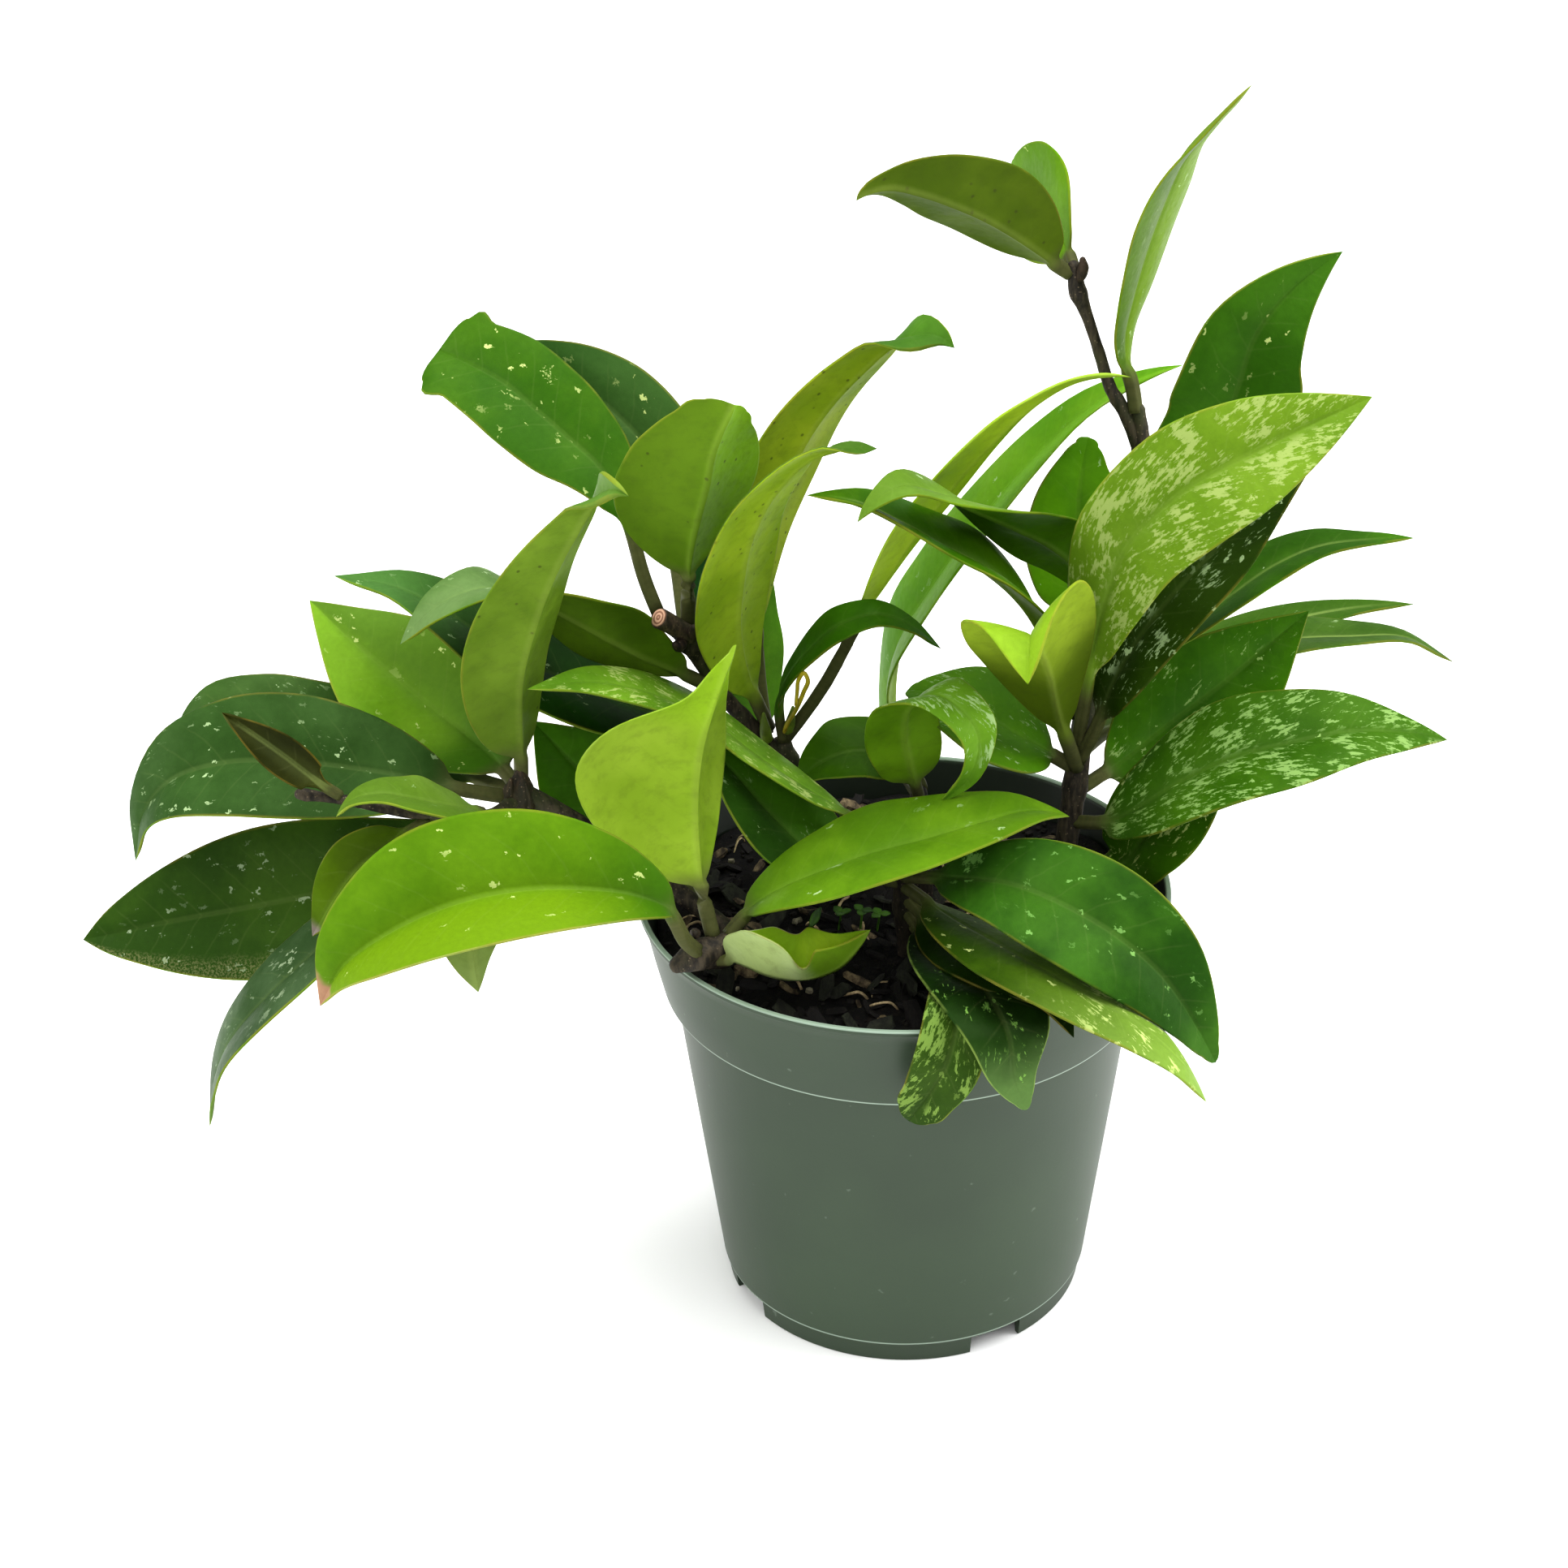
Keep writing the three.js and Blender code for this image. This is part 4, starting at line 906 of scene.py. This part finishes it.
def scatter(name, shape, material, places):
    """Copies of one shape set down in one piece: (where, turn, stretch, bend)."""
    copies = []
    for where, turn, stretch, bend in places:
        points = []
        for p in shape[0]:
            q = Vector((p[0] * stretch[0], p[1] * stretch[1], p[2] * stretch[2]))
            q.x += bend * p[1] * p[1] * stretch[0]
            q.z += bend * 0.6 * p[0] * p[0] * stretch[2]
            points.append(where + turn @ q)
        copies.append((points, shape[1]))
    belongs(mesh_object(name, *together(copies), material, smooth=False), slot="soil")


def strewn(chance, count, reach):
    """Random places (x, y and radius) within this reach of the pot's axis, in millimetres, one by one."""
    for _ in range(count):
        radius, angle = reach * math.sqrt(chance.random()), chance.uniform(0, 2 * math.pi)
        yield radius * math.cos(angle), radius * math.sin(angle), radius


def tumbled(chance, lean_x, lean_y):
    """A turn any way round, with leans that are mostly within these angles."""
    return (
        Matrix.Rotation(chance.uniform(0, 2 * math.pi), 3, "Z")
        @ Matrix.Rotation(chance.gauss(0, lean_x), 3, "X")
        @ Matrix.Rotation(chance.gauss(0, lean_y), 3, "Y")
    )


def about(chance, axis):
    """A turn about one axis by any angle."""
    return Matrix.Rotation(chance.uniform(0, 6.28), 3, axis)


def build_litter():
    """Bark chips, crumbs, dead leaf flakes and pale grains, strewn in this order over the soil."""
    chance = random.Random(41)
    shape = chip_shape()
    dark, pale, crumbs, flakes, grains = [], [], [], [], []
    for x, y, radius in strewn(chance, *CHIPS):
        long = chance.uniform(3.0, 9.5)
        stretch = (long * MM, long * chance.uniform(0.3, 0.6) * MM, long * chance.uniform(0.12, 0.28) * MM)
        turn = tumbled(chance, 0.35, 0.35)
        if radius + long / 2 > CHIPS_WITHIN:
            continue
        where = at(x, y, soil_height(x, y) + chance.uniform(0.0, 1.1))
        (pale if chance.random() < 0.16 else dark).append((where, turn, stretch, chance.uniform(-0.6, 0.6)))
    for x, y, _ in strewn(chance, *CRUMBS):
        small = chance.uniform(0.8, 2.2) * MM
        turn = about(chance, "Z") @ about(chance, "X")
        crumbs.append((at(x, y, soil_height(x, y) + 0.2), turn, (small, small * 0.7, small * 0.6), 0.0))
    for x, y, _ in strewn(chance, *FLAKES):
        long = chance.uniform(5.0, 11.0)
        turn = tumbled(chance, 0.5, 0.4)
        stretch = (long * MM, long * chance.uniform(0.4, 0.6) * MM, 0.8 * MM)
        flakes.append((at(x, y, soil_height(x, y) + 1.6), turn, stretch, chance.uniform(-0.9, 0.9)))
    for x, y, _ in strewn(chance, *GRAINS):
        small = chance.uniform(0.9, 1.9) * MM
        turn = about(chance, "Z")
        grains.append((at(x, y, soil_height(x, y) + 0.7), turn, (small, small * 0.8, small * 0.7), 0.0))
    for name, material_name, dark_tone, light_tone, places in (
        ("dark_bark_chips", "dark bark", "#040303", "#15120e", dark),
        ("pale_bark_chips", "pale bark", "#342a1e", "#8a7a5c", pale),
        ("leaf_litter", "leaf litter", "#14160f", "#34382a", flakes),
        ("pale_grains", "pale grains", "#6a6452", "#aaa48c", grains),
        ("soil_crumbs", "crumbs", "#050404", "#1a1510", crumbs),
    ):
        scatter(name, shape, chip_material(material_name, dark_tone, light_tone), places)


build_litter()


# ---------------------------------------------------------------- stems


DOME = ((0.82, 0.45), (0.5, 0.75))  # a domed end's rings: share of its radius, share of it outwards


def tube(path, sides=16, steps=7, rough=0.0, knots=(), seed=0, ends=(True, True)):
    """A round branch through (x, y, z, radius) places in millimetres, with bark's unevenness and swollen
    knots given as (share of the length, extra radius, width). ends says which ends are domed."""
    places = np.array([[*at(x, y, z)] for x, y, z, _ in path])
    radii = np.array([[r * MM] for *_, r in path])
    marks = np.concatenate([[0], np.cumsum(np.linalg.norm(np.diff(places, axis=0), axis=1))])
    stretches = [np.linspace(a, b, steps, endpoint=False) for a, b in zip(marks, marks[1:])]
    wanted = np.concatenate([*stretches, [marks[-1]]])
    line = smooth_rows(marks, places, wanted)
    radius = smooth_rows(marks, radii, wanted)[:, 0]
    for share, extra, width in knots:
        radius = radius + extra * MM * np.exp(-(((wanted / marks[-1] - share) / width) ** 2))
    tangent = unit(np.gradient(line, axis=0))
    side = np.cross(tangent[0], [0.3, 0.9, 0.2])
    points, faces = [], []
    for i, (centre, direction) in enumerate(zip(line, tangent)):
        side = side - direction * np.dot(side, direction)
        side = side / np.linalg.norm(side)
        other = np.cross(direction, side)
        for k in range(sides):
            a = 2 * math.pi * k / sides
            out = side * math.cos(a) + other * math.sin(a)
            lump = 1 + rough * noise.noise(Vector(tuple(centre * 260 + out * 1.4 + seed * 7.0)))
            points.append(centre + out * radius[i] * lump)

    def ring(first):
        return list(range(first, first + sides))

    def band(lower, upper, inside_out=False):
        for k in range(sides):
            j = (k + 1) % sides
            face = (lower[k], lower[j], upper[j], upper[k])
            faces.append((face[0], face[3], face[2], face[1]) if inside_out else face)

    for i in range(len(line) - 1):
        band(ring(i * sides), ring((i + 1) * sides))
    for row, at_start, domed in ((0, True, ends[0]), (len(line) - 1, False, ends[1])):
        centre, size = line[row], radius[row]
        outward = -tangent[row] if at_start else tangent[row]
        base = outer = ring(row * sides)
        for share, out in DOME if domed else ():
            inner = ring(len(points))
            points += [centre + (points[i] - centre) * share + outward * size * out for i in base]
            band(outer, inner, at_start)
            outer = inner
        pole = len(points)
        points.append(centre + outward * size * 0.85 if domed else centre)
        for k in range(sides):
            j = (k + 1) % sides
            faces.append((pole, outer[j], outer[k]) if at_start else (pole, outer[k], outer[j]))
    return points, faces


def bark_material(name, dark, light, green):
    s = Shader(name)
    place = s.object_place()
    streak = s.cloud(s.moved(place, stretch=(1, 1, 0.3)), 520.0, detail=5, roughness=0.65)
    patch = s.cloud(place, 60.0, detail=3)
    colour = s.mix(s.step(streak, 0.35, 0.68), tone(dark), tone(light))
    colour = s.tint(colour, s.step(patch, 0.5, 0.68), 0.6, tone(green))
    dist, _ = s.cells(place, 700.0)
    colour = s.tint(colour, s.step(dist, 0.22, 0.08), 0.4, tone("#8a7a62"))
    rough = s.plus(0.55, s.times(streak, 0.25))
    return s.finish(colour, rough, s.bump(streak, 0.5, 0.0006), Specular_IOR_Level=0.25)


# Each stem's branches: (x, y, z, radius) places, then knots
STEMS = {
    "left": [
        ([(-43, -20, 108, 2.6), (-45, -20, 121, 2.8), (-57, -14, 131, 2.6), (-77, -9, 145, 2.5),
          (-97, -8, 161, 2.7), (-107, -8, 167, 3.4)], ((0.42, 0.5, 0.02), (0.78, 0.5, 0.02))),
        ([(-45, -20, 121, 2.6), (-48, -32, 129, 3.2), (-53, -41, 134, 4.3), (-58, -46, 136, 3.4)],
         ((0.75, 0.5, 0.08),)),
        ([(-51, -38, 131, 2.7), (-51, -42, 138, 2.5)], ()),
        ([(-63.5, -47, 134, 2.4), (-59, -46, 136, 3.9), (-53, -43.5, 137.5, 3.6), (-49, -42, 138.5, 2.4)],
         ((0.4, 0.6, 0.1),)),
        ([(-106, -8, 167, 2.5), (-114, -24, 169, 1.7), (-122, -32, 174, 1.6), (-135, -37, 178, 1.5),
          (-149, -39, 183, 1.4), (-162, -40, 186, 1.25)], ((0.5, 0.3, 0.02), (0.97, 0.5, 0.03))),
    ],
    "centre": [
        ([(-22, 26, 108, 2.8), (-23, 27, 125, 3.0), (-30, 28, 148, 3.2), (-34, 28, 160, 3.5)],
         ((0.55, 0.5, 0.03), (0.9, 0.5, 0.04))),
        ([(-31, 28, 152, 3.0), (-42, 25, 168, 2.3), (-50, 22, 180, 2.2), (-58, 16, 198, 2.4),
          (-62, 13, 206, 2.7), (-67, 11.5, 210, 2.4)], ((0.35, 0.4, 0.02), (0.8, 0.7, 0.03))),
    ],
    "back": [
        ([(6, 8, 108, 2.6), (6, 8, 126, 2.8), (5, 10, 146, 3.0), (5, 11, 153.5, 2.4)],
         ((0.6, 0.4, 0.03), (0.85, 0.6, 0.04))),
    ],
    "right": [
        ([(44, 6, 108, 3.0), (46, 7, 128, 3.2), (49, 9, 155, 3.4), (53, 15, 186, 2.9),
          (60, 19, 213, 2.4), (65, 22, 234, 2.1), (66, 24, 252, 2.4), (64.5, 24, 264, 2.0)],
         ((0.3, 0.5, 0.015), (0.5, 0.4, 0.01), (0.74, 0.4, 0.01), (0.93, 0.5, 0.012))),
        ([(65.6, 24, 251, 1.8), (61, 24, 263, 1.9), (57, 24, 270, 1.7), (54, 24, 279, 1.6),
          (50, 24, 291, 1.6), (47, 24, 299, 2.2), (46, 24, 305, 1.75)],
         ((0.3, 0.3, 0.02), (0.86, 0.4, 0.03))),
    ],
    "front": [
        ([(0, -20, 108, 2.6), (0, -21, 124, 2.8), (-1, -23, 140, 3.0), (-1, -24, 148.5, 2.4)],
         ((0.7, 0.4, 0.04),)),
    ],
}


def build_stems():
    bark = bark_material("grey-brown bark", "#1e1a14", "#484032", "#3a4222")
    low = bark_material("shaded bark", "#14110c", "#342d22", "#2a3018")
    for number, (name, branches) in enumerate(STEMS.items()):
        shapes = []
        for k, (path, knots) in enumerate(branches):
            shapes.append(tube(path, rough=0.1, knots=knots, seed=number * 5 + k))
        stem = mesh_object(name + "_stem", *together(shapes), low if name in ("front", "back") else bark)
        belongs(stem, "stem_" + name, slot="bark")


build_stems()


# ---------------------------------------------------------------- small growth


def build_roots():
    """Fine pale roots that surface here and there."""
    chance = random.Random(9)
    roots = []
    for x, y, _ in strewn(chance, *ROOTS):
        heading = chance.uniform(0, 2 * math.pi)
        thick, path = chance.uniform(0.25, 0.5), []
        for lift in (-0.6, 1.9, 2.3, -0.4):
            lift = lift + chance.uniform(-0.3, 0.3)
            path.append((x, y, soil_height(x, y) + lift, thick))
            heading += chance.uniform(-1.0, 1.0)
            stride = chance.uniform(2.0, 4.2)
            x, y = x + stride * math.cos(heading), y + stride * math.sin(heading)
        if all(math.hypot(px, py) < ROOTS_WITHIN for px, py, _, _ in path):
            roots.append(tube(path, sides=5, steps=4, ends=(False, False)))
    pale = bark_material("root", "#7a6a50", "#c8b48c", "#8a7858")
    belongs(mesh_object("fine_roots", *together(roots), pale), slot="soil")


def plain_leaf_material(name, dark, light):
    s = Shader(name)
    place = s.object_place()
    soft = s.cloud(place, 260.0, detail=3)
    colour = s.mix(s.step(soft, 0.35, 0.65), sap(dark), sap(light))
    rough = s.plus(0.4, s.times(soft, 0.2))
    return s.finish(colour, rough, s.bump(soft, 0.3, 0.0004), Specular_IOR_Level=0.3)


def leaflet(foot, heading, lift, long, wide):
    """A little oval leaf: a thin, slightly cupped blade with two faces and a rim."""
    along = Vector((math.cos(heading) * math.cos(lift), math.sin(heading) * math.cos(lift), math.sin(lift)))
    across = along.cross(Vector((0, 0, 1))).normalized()
    up = across.cross(along)
    rows, columns, thin = 9, 6, 0.18
    points, faces = [], []
    for face in (1, -1):
        for i in range(rows):
            t = i / (rows - 1)
            half = max(0.05, wide / 2 * math.sin(math.pi * (0.04 + 0.92 * t) ** 0.9))
            for j in range(columns):
                u = -1 + 2 * j / (columns - 1)
                cup = 0.06 * wide * u * u - 0.03 * long * t * t
                place = Vector(foot) + along * (long * t) + across * (half * u) + up * (cup + face * thin)
                points.append(at(*place))
    size = rows * columns
    for i in range(rows - 1):
        for j in range(columns - 1):
            a, b = i * columns + j, i * columns + j + 1
            c, d = b + columns, a + columns
            faces += [(a, d, c, b), (size + a, size + b, size + c, size + d)]
    rim = list(range(columns)) + [i * columns + columns - 1 for i in range(1, rows)]
    rim += [(rows - 1) * columns + j for j in range(columns - 2, -1, -1)]
    rim += [i * columns for i in range(rows - 2, 0, -1)]
    for a, b in zip(rim, rim[1:] + rim[:1]):
        faces.append((a, b, size + b, size + a))
    return points, faces


def build_seedlings():
    """Weed seedlings between the stems: thread-thin stalks with round leaflets, and one pointed leaf."""
    chance = random.Random(5)
    parts = []
    for x, y, tall in ((-19, -9, 7), (-13, -11, 8.5), (-8, -8, 6), (30, -38, 6), (22, 40, 7)):
        foot = soil_height(x, y)
        head = (x + 1.0, y - 0.5, foot + tall)
        stalk = [(x, y, foot - 1, 0.35), (x + 0.6, y, foot + tall / 2, 0.32), (*head, 0.28)]
        parts.append(tube(stalk, sides=6, steps=4))
        for k in range(3):
            heading = k * 2 * math.pi / 3 + chance.uniform(-0.4, 0.4)
            parts.append(leaflet(head, heading, chance.uniform(0.0, 0.3), 3.0, 2.8))
    x, y = -27, -14
    foot = soil_height(x, y)
    stalk = [(x, y, foot - 1, 0.4), (x, y, foot + 3, 0.35), (x + 0.4, y, foot + 5, 0.3)]
    parts.append(tube(stalk, sides=6, steps=4))
    parts.append(leaflet((x + 0.2, y, foot + 4.5), 0.5, 1.0, 6.5, 3.6))
    green = plain_leaf_material("seedling green", "#2c5018", "#487028")
    seedlings = mesh_object("seedlings", *together(parts), green)
    open_up(seedlings)
    bpy.ops.mesh.normals_make_consistent(inside=False)
    bpy.ops.object.mode_set(mode="OBJECT")
    belongs(seedlings, slot="leaf_mid")


SHEATH = (  # path, sides, roughness
    ([(-107.5, -11.0, 162, 4.6), (-107, -11.8, 167, 4.1), (-106.2, -12.4, 172, 3.1),
      (-105.8, -12.8, 176, 1.5)], 16, 0.45),
    ([(-109.5, -13.5, 164, 1.5), (-109, -14.5, 170, 1.1), (-108.2, -14.8, 175, 0.5)], 8, 0.3),
    ([(-104, -13.0, 163, 1.3), (-103.8, -14, 169, 1.0), (-104.5, -14.2, 174, 0.45)], 8, 0.3),
)
STUB_END = (-66.5, 4.8, 213.5)
STUB = ((-58, 11, 205, 2.5), (-62, 8, 209, 2.7), (-65.5, 5.5, 212.5, 2.9), (*STUB_END, 2.95))
STUB_FACE = ((-66.3, 4.95, 213.3, 2.6), (-66.75, 4.6, 213.75, 2.5))
DARK_BUDS = (
    ((-57.5, 8.5, 207, 1.6), (-57.0, 5.8, 208.5, 2.0), (-56.8, 3.6, 211, 1.1)),
    ((-60.5, 9.5, 205, 1.5), (-61.5, 6.6, 204, 1.8), (-62.5, 4.4, 205.5, 0.9)),
    ((47.5, 22.5, 302, 1.2), (48.3, 21.2, 305, 1.5), (48.0, 20.6, 308, 0.8)),
    ((-58.2, -44.0, 142.5, 1.2), (-58.2, -47.5, 144.5, 1.5), (-58.2, -49.5, 146.0, 0.9)),
)
GREEN_BUDS = (
    ((-38, 22, 166, 1.8), (-38.5, 20.5, 170, 1.6), (-38.8, 20, 175, 0.5)),
    ((-32, 23, 168, 1.6), (-31, 22, 172, 1.3), (-30.4, 22, 176, 0.4)),
)
TENDRIL = (
    (-33.0, 22, 168, 0.6), (-32.0, 16, 174, 0.6), (-29.6, 11, 181, 0.65), (-27.4, 8, 188, 0.65),
    (-26.2, 7, 192.5, 0.65), (-27.2, 7, 194.5, 0.6), (-28.6, 7.5, 192.5, 0.6), (-29.2, 8, 188, 0.55),
    (-29.6, 8, 184, 0.5),
)


def cut_wood_material():
    """Rings round the middle of the sawn-off stub."""
    s = Shader("cut wood")
    place = s.moved(s.object_place(), shift=tuple(-c for c in at(*STUB_END)))
    off_pith = s.fed("ShaderNodeVectorMath", place, operation="LENGTH").outputs["Value"]
    wander = s.cloud(place, 600.0, detail=3)
    ring = s.math("PINGPONG", s.plus(off_pith, s.times(wander, 0.0006)), 0.0005)
    colour = s.mix(s.step(ring, 0.0001, 0.0004), tone("#7c5440"), tone("#c09a80"))
    return s.finish(colour, s.plus(0.6, s.times(wander, 0.3)), s.bump(ring, 0.5, 0.0004))


def build_node_details():
    """What the plant's joints carry: a fibrous sheath, a sawn-off stub, buds and one looped tendril."""
    sheath = [tube(path, sides, rough=rough, seed=3 + k) for k, (path, sides, rough) in enumerate(SHEATH)]
    stub = [tube(STUB, rough=0.06, seed=8, ends=(True, False))]
    face = [tube(STUB_FACE, sides=20, steps=3, ends=(True, False))]
    dark = [tube(path, sides=10, rough=0.15, seed=11 + k) for k, path in enumerate(DARK_BUDS)]
    green = [tube(path, sides=10, seed=15 + k) for k, path in enumerate(GREEN_BUDS)]
    loop = [tube(TENDRIL, sides=8, steps=5)]
    fibrous = bark_material("fibrous sheath", "#15100c", "#4a3a2a", "#2c2c18")
    stub_bark = bark_material("stub bark", "#2a221b", "#5a4c3c", "#3c3c26")
    bud = bark_material("bud", "#17120e", "#3c3024", "#2c2a18")
    green_bud = plain_leaf_material("green bud", "#56662a", "#6f8238")
    yellow = plain_leaf_material("yellow tendril", "#a08c28", "#c0a83c")
    for name, shapes, material, slot in (
        ("leaf_sheath", sheath, fibrous, "bark"), ("cut_stub", stub, stub_bark, "bark"),
        ("cut_face", face, cut_wood_material(), "bark"), ("dark_buds", dark, bud, "bark"),
        ("green_buds", green, green_bud, "leaf_olive"), ("tendril", loop, yellow, "leaf_bright"),
    ):
        belongs(mesh_object(name, *together(shapes), material), slot=slot)


build_roots()
build_seedlings()
build_node_details()


# ---------------------------------------------------------------- floor, light and camera


SOFT_BOXES = (  # name, place, width and height in metres, watts
    ("overhead box", (0.35, 0.0, 1.9), 2.2, 2.2, 66),
    ("left box", (-1.6, -0.3, 0.9), 0.9, 1.4, 25),
    ("right box", (1.6, -0.1, 0.9), 0.9, 1.4, 22),
    ("front box", (-0.3, -1.9, 1.3), 1.4, 1.2, 14),
)
LIGHTS_AIM = Vector((0, 0, 0.15))


def build_stage():
    s = Shader("pale paper")
    place = s.object_place()
    paper = s.cloud(place, 3.0, detail=2)
    grain = s.cloud(place, 900.0, detail=2)
    colour = s.mix(paper, tone("#f7f7f7"), tone("#fbfbfb"))
    material = s.finish(colour, 0.85, s.bump(grain, 0.05, 0.0001))
    reach = 7.0
    points = [(-reach, -reach, 0), (reach, -reach, 0), (reach, reach, 0), (-reach, reach, 0)]
    floor = mesh_object("floor", points, [(0, 1, 2, 3)], material, smooth=False)

    world = bpy.data.worlds.new("studio")
    bpy.context.scene.world = world
    world.use_nodes = True
    background = world.node_tree.nodes["Background"]
    background.inputs["Color"].default_value = (1.0, 1.0, 1.0, 1.0)
    background.inputs["Strength"].default_value = 0.5

    for name, place, wide, high, power in SOFT_BOXES:
        light = bpy.data.lights.new(name, "AREA")
        light.shape = "RECTANGLE"
        light.size, light.size_y, light.energy = wide, high, power
        lamp = bpy.data.objects.new(name, light)
        lamp.location = place
        lamp.rotation_euler = (LIGHTS_AIM - Vector(place)).to_track_quat("-Z", "Y").to_euler()
        bpy.context.collection.objects.link(lamp)


CAMERA_PITCH, CAMERA_ROLL = math.radians(29.42), math.radians(-1.22)
CAMERA_DISTANCE = 0.8703
AIM_LEFT_OF_POT, AIM_HEIGHT = 0.0334, 0.1633


def build_camera():
    data = bpy.data.cameras.new("camera")
    data.sensor_width = 36.0
    data.lens = 71.4
    data.dof.use_dof = False
    camera = bpy.data.objects.new("camera", data)
    forward = Vector((0, math.cos(CAMERA_PITCH), -math.sin(CAMERA_PITCH)))
    aim = Vector((POT_X - AIM_LEFT_OF_POT, POT_Y, AIM_HEIGHT))
    camera.location = aim - forward * CAMERA_DISTANCE
    level = Matrix.Rotation(math.radians(90) - CAMERA_PITCH, 3, "X")
    camera.rotation_euler = (level @ Matrix.Rotation(CAMERA_ROLL, 3, "Z")).to_euler()
    bpy.context.collection.objects.link(camera)
    bpy.context.scene.camera = camera


build_stage()
build_camera()
view = bpy.context.scene.view_settings
view.view_transform, view.look, view.gamma = "Standard", "None", 0.88
